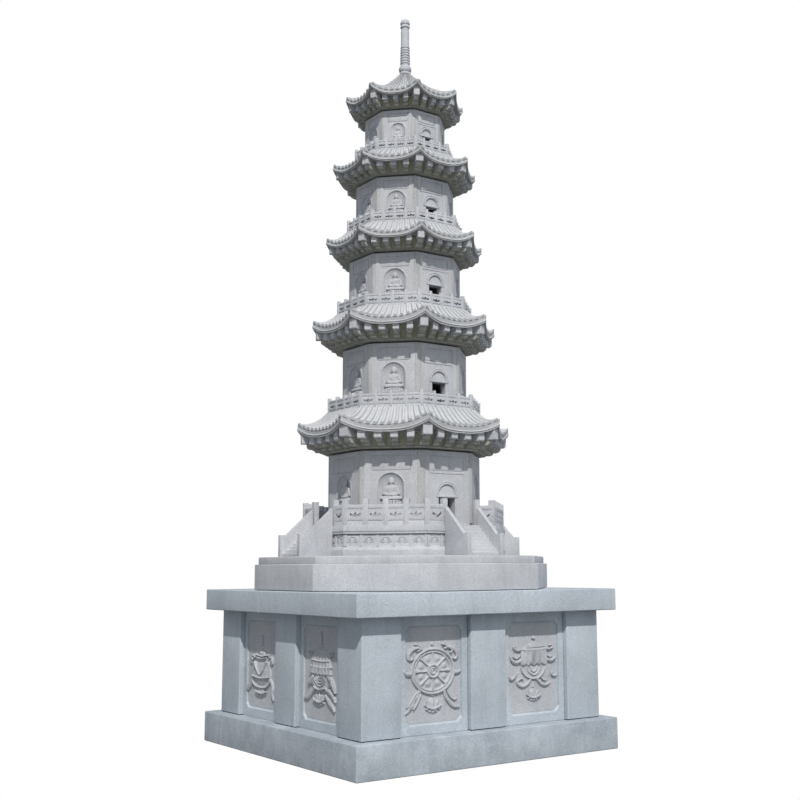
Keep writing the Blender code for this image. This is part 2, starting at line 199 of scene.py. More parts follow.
def refined(node, width, segments=2, footJoint=0, topJoint=0):
    # the CAD stone itself, merged, with its arrises worn round and room left for a bed joint
    piece = bpy.data.objects.new(node + "_stone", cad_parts[node].data.copy())
    bpy.context.scene.collection.objects.link(piece)
    piece.data.materials.clear()
    pickOnly(piece)
    bpy.ops.mesh.customdata_custom_splitnormals_clear()
    openEdit(piece)
    bpy.ops.mesh.remove_doubles(threshold=0.00002)
    bpy.ops.mesh.dissolve_limited(angle_limit=math.radians(1))
    closeEdit()
    heights = [point.co.z for point in piece.data.vertices]
    for point in piece.data.vertices:
        if point.co.z < min(heights) + 0.0001:
            point.co.z += footJoint
        elif point.co.z > max(heights) - 0.0001:
            point.co.z -= topJoint
    softenEdges(piece, width, segments)
    shadeByAngle(piece, 30)
    return piece


def arch(width, foot, top, steps=24):
    # an upright opening under half a circle, as (x, z) points
    radius = width / 2
    spring = top - radius
    bend = [math.pi * i / steps for i in range(steps + 1)]
    curve = [(radius * math.cos(a), spring + radius * math.sin(a)) for a in bend]
    return [(-radius, foot), (radius, foot), *curve]


def smoothLine(points, steps):
    # a soft curve through the points
    count = len(points)
    line = []
    for i in range(count - 1):
        a, b, c, d = (Vector(points[min(max(i + k, 0), count - 1)]) for k in (-1, 0, 1, 2))
        for step in range(steps):
            t = step / steps
            line.append(0.5 * (2 * b + (c - a) * t + (2 * a - 5 * b + 4 * c - d) * t**2
                               + (3 * b - a - 3 * c + d) * t**3))
    return line + [Vector(points[-1])]


# Finishes

def linear(hexValue):
    # an sRGB hex colour as the shader's linear one
    shades = [int(hexValue[i:i + 2], 16) / 255 for i in (0, 2, 4)]
    return (*(s / 12.92 if s <= 0.04045 else ((s + 0.055) / 1.055) ** 2.4 for s in shades), 1)


def addNode(tree, kind, inputs=None, **settings):
    node = tree.nodes.new(kind)
    for key, value in settings.items():
        setattr(node, key, value)
    for key, value in (inputs or {}).items():
        if isinstance(value, bpy.types.NodeSocket):
            tree.links.new(value, node.inputs[key])
        else:
            node.inputs[key].default_value = value
    return node


def colourMix(tree, share, first, second, blend="MIX"):
    mixed = addNode(tree, "ShaderNodeMix", {0: share, 6: first, 7: second},
                    data_type="RGBA", blend_type=blend)
    return mixed.outputs[2]


def granite(name, look):
    # Dressed granite: light feldspar, grey quartz and dark mica grains of 2 to 5 mm, drawn at about
    # twice that so that they show, on a stone that clouds slowly and weathers in streaks.
    made = bpy.data.materials.new(name)
    made.use_nodes = True
    tree = made.node_tree
    shader = tree.nodes["Principled BSDF"]
    shader.inputs["IOR"].default_value = 1.54
    shader.inputs["Metallic"].default_value = 0
    place = addNode(tree, "ShaderNodeTexCoord").outputs["Object"]
    cloud = addNode(tree, "ShaderNodeTexNoise", {"Vector": place, "Scale": 1000 / look["cloudMm"],
                    "Detail": 5, "Roughness": 0.6}).outputs["Fac"]
    clouds = addNode(tree, "ShaderNodeMapRange", {"Value": cloud, "From Min": 0.32, "From Max": 0.68})
    base = colourMix(tree, clouds.outputs["Result"], linear(look["dark"]), linear(look["light"]))
    grain = addNode(tree, "ShaderNodeTexVoronoi", {"Vector": place, "Scale": 1000 / look["grainMm"],
                    "Randomness": 1})
    grains = addNode(tree, "ShaderNodeSeparateColor", {"Color": grain.outputs["Color"]})
    mica = addNode(tree, "ShaderNodeMapRange", {"Value": grains.outputs[0], "From Min": 0.70,
                   "From Max": 0.95, "To Max": look["mica"]})
    flecked = colourMix(tree, mica.outputs["Result"], base, linear(look["fleck"]))
    spar = addNode(tree, "ShaderNodeMapRange", {"Value": grains.outputs[1], "From Min": 0.72,
                   "From Max": 0.92, "To Max": look["spar"]})
    sparred = colourMix(tree, spar.outputs["Result"], flecked, linear("F2F3F2"))
    drawn = addNode(tree, "ShaderNodeMapping", {"Vector": place, "Scale": (1, 1, 0.12)})
    streak = addNode(tree, "ShaderNodeTexNoise", {"Vector": drawn.outputs["Vector"],
                     "Scale": 1000 / look["streakMm"], "Detail": 4, "Roughness": 0.55})
    streaks = addNode(tree, "ShaderNodeMapRange", {"Value": streak.outputs["Fac"], "From Min": 0.50,
                      "From Max": 0.72, "To Max": look["streak"]})
    streaked = colourMix(tree, streaks.outputs["Result"], sparred, linear(look["stain"]))
    normal = addNode(tree, "ShaderNodeNewGeometry").outputs["Normal"]
    upward = addNode(tree, "ShaderNodeSeparateXYZ", {"Vector": normal}).outputs["Z"]
    # down-facing faces are mixed towards a darker colour by the underside share: painted shade under eaves,
    # brackets and overhangs, with some damp staining
    stainAndShadeBelow = addNode(tree, "ShaderNodeMapRange", {"Value": upward, "From Min": -0.15,
                   "From Max": -0.75, "To Max": look["underside"]})
    # steep faces are mixed towards the stain colour by the steep share, so they come out darker than upward
    # faces
    steep = addNode(tree, "ShaderNodeMapRange", {"Value": upward, "From Min": 0.80, "From Max": 0.35,
                    "To Max": look["steep"]})
    steepDarkened = colourMix(tree, steep.outputs["Result"], streaked, linear(look["stain"]))
    shadedBelow = colourMix(tree, stainAndShadeBelow.outputs["Result"], steepDarkened, linear(look["stainAndShadeBelow"]))
    tree.links.new(shadedBelow, shader.inputs["Base Color"])
    wear = addNode(tree, "ShaderNodeMapRange", {"Value": cloud, "To Min": look["rough"] - 0.08,
                   "To Max": look["rough"] + 0.08})
    tree.links.new(wear.outputs["Result"], shader.inputs["Roughness"])
    tooled = addNode(tree, "ShaderNodeTexNoise", {"Vector": place, "Scale": 1000 / look["toolMm"],
                     "Detail": 6, "Roughness": 0.65})
    relief = addNode(tree, "ShaderNodeMath", {0: tooled.outputs["Fac"], 1: grain.outputs["Distance"]},
                     operation="ADD")
    bump = addNode(tree, "ShaderNodeBump", {"Height": relief.outputs["Value"],
                   "Strength": look["bump"], "Distance": 0.003})
    tree.links.new(bump.outputs["Normal"], shader.inputs["Normal"])
    return made


# fine-axed light grey granite of the tower: matt, pale, a little blue, with faint streaks
axed = {
    "light": "C4C7CC", "dark": "B2B5BA", "fleck": "83878D", "stain": "95989D", "stainAndShadeBelow": "868A8A",
    "cloudMm": 380, "grainMm": 6, "streakMm": 60, "toolMm": 12, "steep": 0.0,
    "mica": 0.30, "spar": 0.22, "streak": 0.26, "underside": 0.40, "rough": 0.80, "bump": 0.22,
}
towerGranite = granite("fineAxedGranite", axed)
# its corner posts, from a slightly buff bed of the same quarry
postGranite = granite("buffGranite", {
    **axed, "light": "BBBDBD", "dark": "A9ABAB", "fleck": "7E8182", "stain": "929492", "stainAndShadeBelow": "848786",
    "cloudMm": 300, "streakMm": 50, "streak": 0.34,
})
# the roofs' granite: steep faces, such as the eaves' fascias, are mixed darker than the upward slopes, and
# the undersides take painted shade
eaveGranite = granite("eaveGraniteShadedBelow", {
    **axed, "light": "CCCFD3", "dark": "BDC0C4", "fleck": "8C9093", "stain": "929597", "stainAndShadeBelow": "7E8076",
    "cloudMm": 240, "streakMm": 45, "steep": 0.58, "mica": 0.26, "spar": 0.20, "streak": 0.20,
    "underside": 0.70, "rough": 0.84, "bump": 0.24,
})
# the same stone on the brackets' lower tiers and foot course, greyer and darker: some staining in reach of
# the drip, and painted shade for the shadow of the top blocks and eave
bracketGranite = granite("stainedAndShadedGranite", {
    **axed, "light": "C2C3BD", "dark": "A5A69E", "fleck": "7A7C77", "stain": "84867E", "stainAndShadeBelow": "707268",
    "cloudMm": 110, "streakMm": 40, "spar": 0.12, "streak": 0.40, "underside": 0.60,
    "rough": 0.86, "bump": 0.28,
})
# and on the cove between them: olive from lichen, and darker than the tower stone as painted shade under
# the eave
coveGranite = granite("lichenAndShadeGranite", {
    **axed, "light": "B3B39E", "dark": "9C9D8B", "fleck": "76786B", "stain": "868878", "stainAndShadeBelow": "93947F",
    "cloudMm": 120, "streakMm": 40, "mica": 0.26, "spar": 0.08, "streak": 0.40, "underside": 0.50,
    "rough": 0.88, "bump": 0.28,
})
# honed bluish grey granite of the pedestal: tighter, with an even speckle
honed = {
    "light": "BAC4CD", "dark": "A8B2BB", "fleck": "79828A", "stain": "8A949C", "stainAndShadeBelow": "7E868C",
    "cloudMm": 420, "grainMm": 6, "streakMm": 90, "toolMm": 16, "steep": 0.0,
    "mica": 0.32, "spar": 0.24, "streak": 0.22, "underside": 0.4, "rough": 0.66, "bump": 0.12,
}
pedestalGranite = granite("honedBlueGranite", honed)
# its lowest course, splashed and cloudy
slabGranite = granite("splashedBlueGranite", {
    **honed, "light": "B2BCC5", "dark": "959FA9", "cloudMm": 240, "streak": 0.34, "rough": 0.74,
})
# and the panels' sunk fields, bush-hammered: warmer and without polish
fieldGranite = granite("bushHammeredGranite", {
    **honed, "light": "BBBFC4", "dark": "ABAFB5", "fleck": "80848A", "stain": "90949A",
    "rough": 0.86, "bump": 0.34,
})
# dark bedding, set back in the open joints, painted near-black as the shade inside those joints
jointShadeBedding = granite("beddingWithPaintedShade", {
    **honed, "light": "4A4640", "dark": "35322E", "fleck": "2C2A27", "stain": "302E2A", "stainAndShadeBelow": "2A2826",
    "spar": 0.0, "rough": 0.94, "bump": 0.40,
})
# lime pointing, flush in the upright joints
paleMortar = granite("limePointing", {
    **honed, "light": "C6C8C8", "dark": "B4B6B6", "fleck": "9A9C9C", "stain": "A2A4A2", "stainAndShadeBelow": "969896",
    "spar": 0.0, "rough": 0.94, "bump": 0.30,
})


def dress(piece, material, slotName, *nodes):
    piece.data.materials.clear()
    piece.data.materials.append(material)
    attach(piece, "root")
    if nodes:
        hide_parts(*nodes)
    return piece


print("finishes made")


# Storeys, from the ground up: each wall, and the roof and eave that it carries
storeys = (
    {"radius": 0.724, "foot": 1.950, "top": 2.612, "wall": 0.095, "nicheWidth": 0.233,
     "nicheFoot": 2.060, "nicheTop": 2.412, "doorWidth": 0.180, "doorTop": 2.199},
    {"radius": 0.599, "foot": 3.000, "top": 3.602, "wall": 0.085, "nicheWidth": 0.213,
     "nicheFoot": 3.085, "nicheTop": 3.422, "doorWidth": 0.150, "doorTop": 3.250},
    {"radius": 0.544, "foot": 3.940, "top": 4.462, "wall": 0.078, "nicheWidth": 0.198,
     "nicheFoot": 4.010, "nicheTop": 4.309, "doorWidth": 0.140, "doorTop": 4.166},
    {"radius": 0.482, "foot": 4.750, "top": 5.212, "wall": 0.070, "nicheWidth": 0.172,
     "nicheFoot": 4.815, "nicheTop": 5.073, "doorWidth": 0.125, "doorTop": 4.935},
    {"radius": 0.398, "foot": 5.475, "top": 5.897, "wall": 0.062, "nicheWidth": 0.132,
     "nicheFoot": 5.530, "nicheTop": 5.768, "doorWidth": 0.100, "doorTop": 5.650},
)
roofs = (
    {"tip": 1.020, "tipTop": 2.912, "middleTop": 2.827, "thick": 0.077, "deck": 0.752,
     "deckTop": 3.000, "tiles": 12, "stacks": 4},
    {"tip": 0.892, "tipTop": 3.882, "middleTop": 3.802, "thick": 0.074, "deck": 0.672,
     "deckTop": 3.940, "tiles": 11, "stacks": 4},
    {"tip": 0.772, "tipTop": 4.692, "middleTop": 4.615, "thick": 0.058, "deck": 0.584,
     "deckTop": 4.750, "tiles": 10, "stacks": 4},
    {"tip": 0.712, "tipTop": 5.428, "middleTop": 5.358, "thick": 0.057, "deck": 0.512,
     "deckTop": 5.475, "tiles": 9, "stacks": 3},
    {"tip": 0.592, "tipTop": 6.130, "middleTop": 6.048, "thick": 0.052, "deck": 0.070,
     "deckTop": 6.392, "tiles": 8, "stacks": 3},
)
eaveForm = {"curve": 2.6, "flare": 0.035, "slopeCurve": 1.45, "rake": 0.010, "soffitRise": 0.012,
            "soffitLift": 0.25, "soffitInset": 0.110, "courseInset": 0.090,
            "tops": (0.20, 0.40, 0.61, 1.00)}


def onRoof(roof, along, share):
    # a point of the roof's top in a face's frame: along the face from -1 to 1, share 0 at the eave
    eave = roof["tip"] / (1 + eaveForm["flare"])
    fade = (1 - share) ** 2
    rise = abs(along) ** eaveForm["curve"]
    radius = (eave + (roof["deck"] - eave) * share) * (1 + eaveForm["flare"] * fade * rise)
    height = roof["middleTop"] + (roof["deckTop"] - roof["middleTop"]) * share ** eaveForm["slopeCurve"]
    height += (roof["tipTop"] - roof["middleTop"]) * fade * rise
    return Vector((along * radius * sideShare, radius * flatShare, height))


def soffitHeight(roof, along, radius):
    # the underside of the eave, above the brackets
    outer = roof["tip"] / (1 + eaveForm["flare"]) - eaveForm["rake"]
    inner = roof["tip"] - eaveForm["soffitInset"]
    share = min(max((outer - radius) / (outer - inner), 0), 1)
    rise = abs(along) ** eaveForm["curve"]
    lift = (roof["tipTop"] - roof["middleTop"]) * (1 - (1 - eaveForm["soffitLift"]) * share)
    return roof["middleTop"] - roof["thick"] + eaveForm["soffitRise"] * share + lift * rise


# one tile roll: where its faces break along the pitch, its share of it, and its height
tileForm = {"breaks": (0.0, 0.18, 0.215, 0.26, 0.34, 0.5, 0.66, 0.74, 0.785, 0.82),
            "halfWidth": 0.285, "height": 0.34, "sunk": 0.30, "proud": 0.007,
            "slopeShares": (1.0, 0.9, 0.79, 0.68, 0.57, 0.46, 0.36, 0.27, 0.18, 0.10, 0.04, 0.0)}


def tiledFace(roof):
    # rolls and pans down the slope, ending flush with a plain fascia over a groove and a thin fillet
    pitch = 2 * roof["tip"] * sideShare / roof["tiles"]
    rollHeight = tileForm["height"] * pitch
    pan = -tileForm["sunk"] * rollHeight
    thick = roof["thick"]
    fillet = 0.72 * thick
    # each row: share up the slope, reach outward, height over the roof's top, how much of the roll
    rows = [(1.0, -0.008, 0.0, 0.0)]
    rows += [(share, 0.0, pan, 1.0) for share in tileForm["slopeShares"]]
    back = -tileForm["proud"]
    rows[-1] = (0.0, back, pan, 1.0)
    rows += [(0.0, back, pan - 0.003, 0.5), (0.0, back, pan - 0.006, 0.1), (0.0, back, pan - 0.009, 0.0),
             (0.0, back, 0.007 - fillet, 0.0), (0.0, back + 0.003, 0.004 - fillet, 0.0),
             (0.0, 0.000, 0.001 - fillet, 0.0), (0.0, 0.000, -0.004 - fillet, 0.0),
             (0.0, -0.010, -0.005 - fillet, 0.0), (0.0, -0.010, -0.009 - fillet, 0.0),
             (0.0, -0.004, -0.010 - fillet, 0.0), (0.0, -0.004, 0.001 - thick, 0.0)]
    breaks = tileForm["breaks"]
    columns = roof["tiles"] * len(breaks)
    soffitRows = 2
    rowCount = len(rows) + soffitRows
    outer = roof["tip"] / (1 + eaveForm["flare"]) - eaveForm["rake"]
    inner = roof["tip"] - eaveForm["soffitInset"]
    pickOnly()
    bpy.ops.mesh.primitive_grid_add(x_subdivisions=columns, y_subdivisions=rowCount - 1, size=2)
    piece = bpy.context.object
    for corner in piece.data.vertices:
        tile, step = divmod(round((corner.co.x + 1) / 2 * columns), len(breaks))
        row = round((corner.co.y + 1) / 2 * (rowCount - 1))
        along = 2 * (tile + breaks[step]) / roof["tiles"] - 1
        off = min(abs(breaks[step] - 0.5) / tileForm["halfWidth"], 1)
        bulge = rollHeight * math.sqrt(1 - off**2)
        if row < len(rows):
            share, reach, height, roll = rows[row]
            point = onRoof(roof, along, share)
            if share == 0 and roll and off < 1:
                reach = 0
            grow = 1 + reach / point.to_2d().length
            corner.co = (point.x * grow, point.y * grow, point.z + height + roll * bulge)
        else:
            inward = (row - len(rows) + 1) / soffitRows
            radius = outer + (inner - outer) * inward
            spread = 1 + eaveForm["flare"] * (1 - inward) * abs(along) ** eaveForm["curve"]
            height = soffitHeight(roof, along, radius)
            corner.co = (along * radius * spread * sideShare, radius * spread * flatShare, height)
    return piece


def tiledRoof(number, roof):
    face = tiledFace(roof)
    face.data.transform(facing(0))
    piece = ringOf("roof_%d_tiles" % number, face, eighthTurns)
    openEdit(piece)
    bpy.ops.mesh.remove_doubles(threshold=0.0002)
    bpy.ops.mesh.fill_holes(sides=0)
    closeEdit()
    shadeByAngle(piece, 40)
    return piece


# a stack's blocks from the foot up: their share of its width and how far each stands out
bracketShape = {"width": 0.50, "corner": 1.24, "shares": (1.0, 0.84, 0.74, 0.94),
                "proud": (0.0, 0.008, 0.030, 0.030), "lift": 0.020, "cornerReach": 0.005, "bend": 5,
                "curl": 0.72, "topCurl": 0.30}


def bracketForm(number):
    # the stepped courses under an eave, worked out from the wall and the roof
    roof, wall = roofs[number], storeys[number]
    foot = wall["top"] + jointGap
    under = roof["middleTop"] - roof["thick"]
    start = wall["radius"] + 0.015
    soffit = roof["tip"] - eaveForm["courseInset"]
    tops = eaveForm["tops"]
    return {"foot": foot, "under": under, "start": start, "soffit": soffit, "inner": start - 0.090,
            "heights": [foot] + [foot + share * (under + 0.002 - foot) for share in tops],
            "reach": (soffit - start) / len(tops)}


def bracketTier(number, tier, along, width, corner=False):
    # one block of a stack: a straight face over a nose that curls back under it
    roof, form = roofs[number], bracketForm(number)
    square = 1 if corner else flatShare
    last = tier == len(eaveForm["tops"])
    low, high = form["heights"][tier - 1:tier + 1]
    if corner:
        low += bracketShape["lift"] if last else 0
        high += bracketShape["lift"] if tier == len(eaveForm["tops"]) - 1 else 0
    tall = high - low
    reach = (form["start"] + tier * form["reach"]) * square
    reach += bracketShape["cornerReach"] * tier if corner else 0
    reach += bracketShape["proud"][tier - 1]
    curl = bracketShape["topCurl" if last else "curl"] * tall
    back = (form["start"] + (tier - 2) * form["reach"]) * square
    outline = [(back, high), (back, low + 0.0005 * tier)]
    for i in range(bracketShape["bend"] + 1):
        angle = math.pi / 2 * i / bracketShape["bend"]
        outline.append((reach - curl + curl * math.sin(angle), low + curl - curl * math.cos(angle)))
    outline.append((reach, high))
    piece = plate(outline, [width * i / 2 for i in (-1, 0, 1)])
    piece.data.transform(aboutAxis(math.pi / 2))
    lean = 0 if corner else along * math.tan(halfStep)
    for point in piece.data.vertices:
        if last and point.co.z > high - 0.0001:
            away = min(abs(point.co.x) / (form["soffit"] * sideShare), 1)
            spot = 1 - away if corner else along
            point.co.z = soffitHeight(roof, spot, point.co.y / square) + 0.004
        point.co.x += lean * point.co.y
    softenEdges(piece, 0.0022, 2, 60)
    return piece


def bracketStacks(number):
    # on every face some stacks of blocks, and a wider one at each corner: top blocks, then the rest
    roof, form = roofs[number], bracketForm(number)
    gaps = roof["stacks"] + 1
    width = bracketShape["width"] * 2 * form["soffit"] * sideShare / gaps
    spots = [(2 * (i + 1) / gaps - 1, width, False) for i in range(roof["stacks"])]
    spots.append((1, bracketShape["corner"] * width, True))
    made = []
    for tiers in ((4,), (3, 2)):
        pieces = []
        for along, wide, corner in spots:
            for tier in tiers:
                piece = bracketTier(number, tier, along, wide * bracketShape["shares"][tier - 1], corner)
                if corner:
                    piece.data.transform(aboutAxis(halfStep))
                pieces.append(piece)
        one = joinAll("stack", pieces)
        one.data.transform(facing(0))
        made.append(ringOf("roof_%d_brackets" % (number + 1), one, eighthTurns))
    return made


def footCourse(number):
    form = bracketForm(number)
    foot, top = form["heights"][:2]
    first = form["start"] + form["reach"]
    # its foot is cut back over the wall, which leaves the open joint that reads as a black line
    back = form["start"] - 0.080
    profile = [(form["inner"], foot), (back, foot), (back, foot + 0.015), (first - 0.003, foot + 0.015),
               (first, foot + 0.018), (first, top - 0.003), (first - 0.004, top), (form["inner"], top)]
    return raised("roof_%d_foot_course" % (number + 1), sides, profile)


def eaveCove(number):
    # the hollow slope between the stacks, from the foot course out to the soffit
    form = bracketForm(number)
    inner, first = form["inner"], form["start"] + form["reach"]
    foot = form["heights"][1] - 0.002
    reach, rise = form["soffit"] - 0.030 - first, form["under"] + 0.010 - foot
    profile = [(inner, foot), (first - 0.010, foot)]
    for i in range(1, 7):
        angle = math.pi / 2 * i / 6
        share = 0.5 * i / 6 + 0.5 * (1 - math.cos(angle))
        profile.append((first - 0.010 + reach * share, foot + rise * (0.6 * i / 6 + 0.4 * math.sin(angle))))
    profile.append((profile[-1][0] - 0.01, form["under"] + 0.03))
    return raised("roof_%d_cove" % (number + 1), sides, profile)


for number, roof in enumerate(roofs):
    node = "roof_%d" % (number + 1)
    dress(tiledRoof(number + 1, roof), eaveGranite, "eave_granite", node)
    blocks, stacks = bracketStacks(number)
    # the top blocks take the lighter tower granite; the lower tiers take the darker bracket granite,
    # painted shade beneath them
    dress(named(blocks, node + "_top_blocks"), towerGranite, "eave_granite", node)
    dress(named(stacks, node + "_brackets"), bracketGranite, "eave_granite", node)
    dress(footCourse(number), bracketGranite, "eave_granite", node)
    dress(eaveCove(number), coveGranite, "eave_granite", node)
print("roofs made")


wallForm = {"nicheDepth": 0.34, "nicheLip": 0.006, "nicheNarrows": 0.78, "nicheHead": 0.058, "band": 0.012,
            "tympanumDepth": 0.012, "tympanumRise": 0.004, "lintel": 0.020, "groove": 0.007, "sunk": 0.0045,
            "panelHalf": 0.66, "frameHalf": 0.80, "post": 0.098}
overrun = 0.05  # how far a cutter runs past the stone


def archBand(width, foot, top, band):
    # the outline of a raised band that follows an arch
    outer = arch(width + 2 * band, foot, top + band)[1:]
    inner = arch(width, foot, top)[1:]
    return outer + [(-width / 2 - band, foot), (-width / 2, foot)] + inner[::-1]


def roundedNiche(wall, face, matrix):
    # an arched recess whose head and sides round in towards a smaller back
    deep = face - wall["wall"] * wallForm["nicheDepth"]
    outline = arch(wall["nicheWidth"], wall["nicheFoot"], wall["nicheTop"])
    cutter = plate(outline, (deep, (deep + face) / 2, face - wallForm["nicheLip"], face + 0.03))
    tall = wall["nicheTop"] - wall["nicheFoot"]
    for point in cutter.data.vertices:
        inward = max(face - wallForm["nicheLip"] - point.co.y, 0) / (face - wallForm["nicheLip"] - deep)
        point.co.x *= 1 - (1 - wallForm["nicheNarrows"]) * inward
        point.co.z -= wallForm["nicheHead"] * inward * (point.co.z - wall["nicheFoot"]) / tall
    cutter.data.transform(matrix)
    return cutter


def storeyWall(number):
    wall = storeys[number]
    radius, foot, top = wall["radius"], wall["foot"] + jointGap, wall["top"]
    face = radius * flatShare
    thick = wall["wall"]
    piece = raised("storey_%d_slabs" % (number + 1), sides, [(radius, foot), (radius, top)])
    inner = radius - thick / flatShare
    boolean(piece, raised("hollow", sides, [(inner, foot - overrun), (inner, top + overrun)]))
    half = radius * sideShare
    panelHalf = wallForm["panelHalf"] * half
    panelFoot = wall["nicheTop"] + 0.10 * (top - wall["nicheTop"])
    panelTop = top - 0.22 * (top - wall["nicheTop"])
    line, back, front = wallForm["groove"], face - wallForm["sunk"], face + 0.03
    cutters = []
    openings = []
    extras = []
    for direction in range(sides):
        matrix = facing(direction)
        cutters.append(block((-panelHalf, back, panelFoot), (panelHalf, front, panelTop), matrix))
        extras.append(block((-panelHalf + line, back - 0.002, panelFoot + line),
                            (panelHalf - line, face - 0.0005, panelTop - line), matrix))
        if direction % 4:
            cutters.append(roundedNiche(wall, face, matrix))
            band = archBand(wall["nicheWidth"] + 0.002, wall["nicheFoot"], wall["nicheTop"] + 0.001,
                            wallForm["band"])
            extras.append(plate(band, (face - 0.004, face + 0.003), matrix))
        else:
            doorWidth, doorTop = wall["doorWidth"], wall["doorTop"]
            doorHalf = doorWidth / 2
            sill = doorTop + wallForm["lintel"]
            frameHalf = min(1.05 * doorWidth, wallForm["frameHalf"] * half)
            cutters.append(block((-frameHalf, back, foot + 0.10), (frameHalf, front, wall["nicheTop"]),
                                 matrix))
            crown = sill + doorHalf + wallForm["tympanumRise"]
            head = arch(doorWidth, sill, crown)
            openings.append(plate(head, (face - wallForm["tympanumDepth"], front), matrix))
            if direction == 0:
                openings.append(block((-doorHalf, -radius - overrun, foot - overrun),
                                      (doorHalf, radius + overrun, doorTop)))
            for step, out in ((0.006, 0.007), (0.024, 0.004)):
                ring = archBand(doorWidth + 2 * step, sill, crown + step, 0.010)
                extras.append(plate(ring, (back - 0.004, back + out), matrix))
            extras.append(block((-doorHalf - 0.03, back - 0.004, doorTop + 0.003),
                                (doorHalf + 0.03, face + 0.002, sill - 0.002), matrix))
    boolean(piece, joinAll("cutters", cutters))
    boolean(piece, joinAll("openings", openings))
    postHalf = wallForm["post"] * radius / 2
    low, high = (-postHalf, 0.8 * inner, foot - 0.02), (postHalf, radius + overrun, top + 0.02)
    corners = joinAll("corners", [block(low, high, aboutAxis(halfStep) @ facing(direction))
                                  for direction in range(sides)])
    posts = named(copyOf(piece, Matrix()), "storey_%d_corner_posts" % (number + 1))
    boolean(posts, copyOf(corners, Matrix()), "INTERSECT")
    boolean(piece, corners)
    softenEdges(posts, 0.0025, 1)
    shadeByAngle(posts, 30)
    softenEdges(piece, 0.0020, 1)
    trim = joinAll("trim", extras)
    softenEdges(trim, 0.0015, 2, 50)
    piece = joinAll(piece.name, [piece, trim])
    shadeByAngle(piece, 30)
    return piece, posts


# Seated figures in the niches: one carved at the first storey's size, copied smaller above
def ball(middle, size, turn=(0, 0, 0), steps=20):
    pickOnly()
    bpy.ops.mesh.primitive_uv_sphere_add(segments=steps, ring_count=steps // 2, radius=1, location=middle,
                                         scale=size, rotation=turn)
    return settled()


def limb(start, end, thickStart, thickEnd):
    # a tapered rod with round ends
    start, end = Vector(start), Vector(end)
    along = end - start
    pickOnly()
    bpy.ops.mesh.primitive_cone_add(vertices=16, radius1=thickStart, radius2=thickEnd, depth=along.length,
                                    location=(start + end) / 2,
                                    rotation=along.to_track_quat("Z", "Y").to_euler())
    rod = settled()
    return [rod, ball(start, (thickStart,) * 3, steps=14), ball(end, (thickEnd,) * 3, steps=14)]


def mirrored(maker, *points):
    # the same limb on both sides
    left = maker(*points)
    flipped = [(-p[0], *p[1:]) if isinstance(p, tuple) else p for p in points]
    return left + maker(*flipped)


figureForm = {"seat": 0.112, "voxel": 0.0022, "fineVoxel": 0.0015, "faces": 5200, "deep": 0.66}


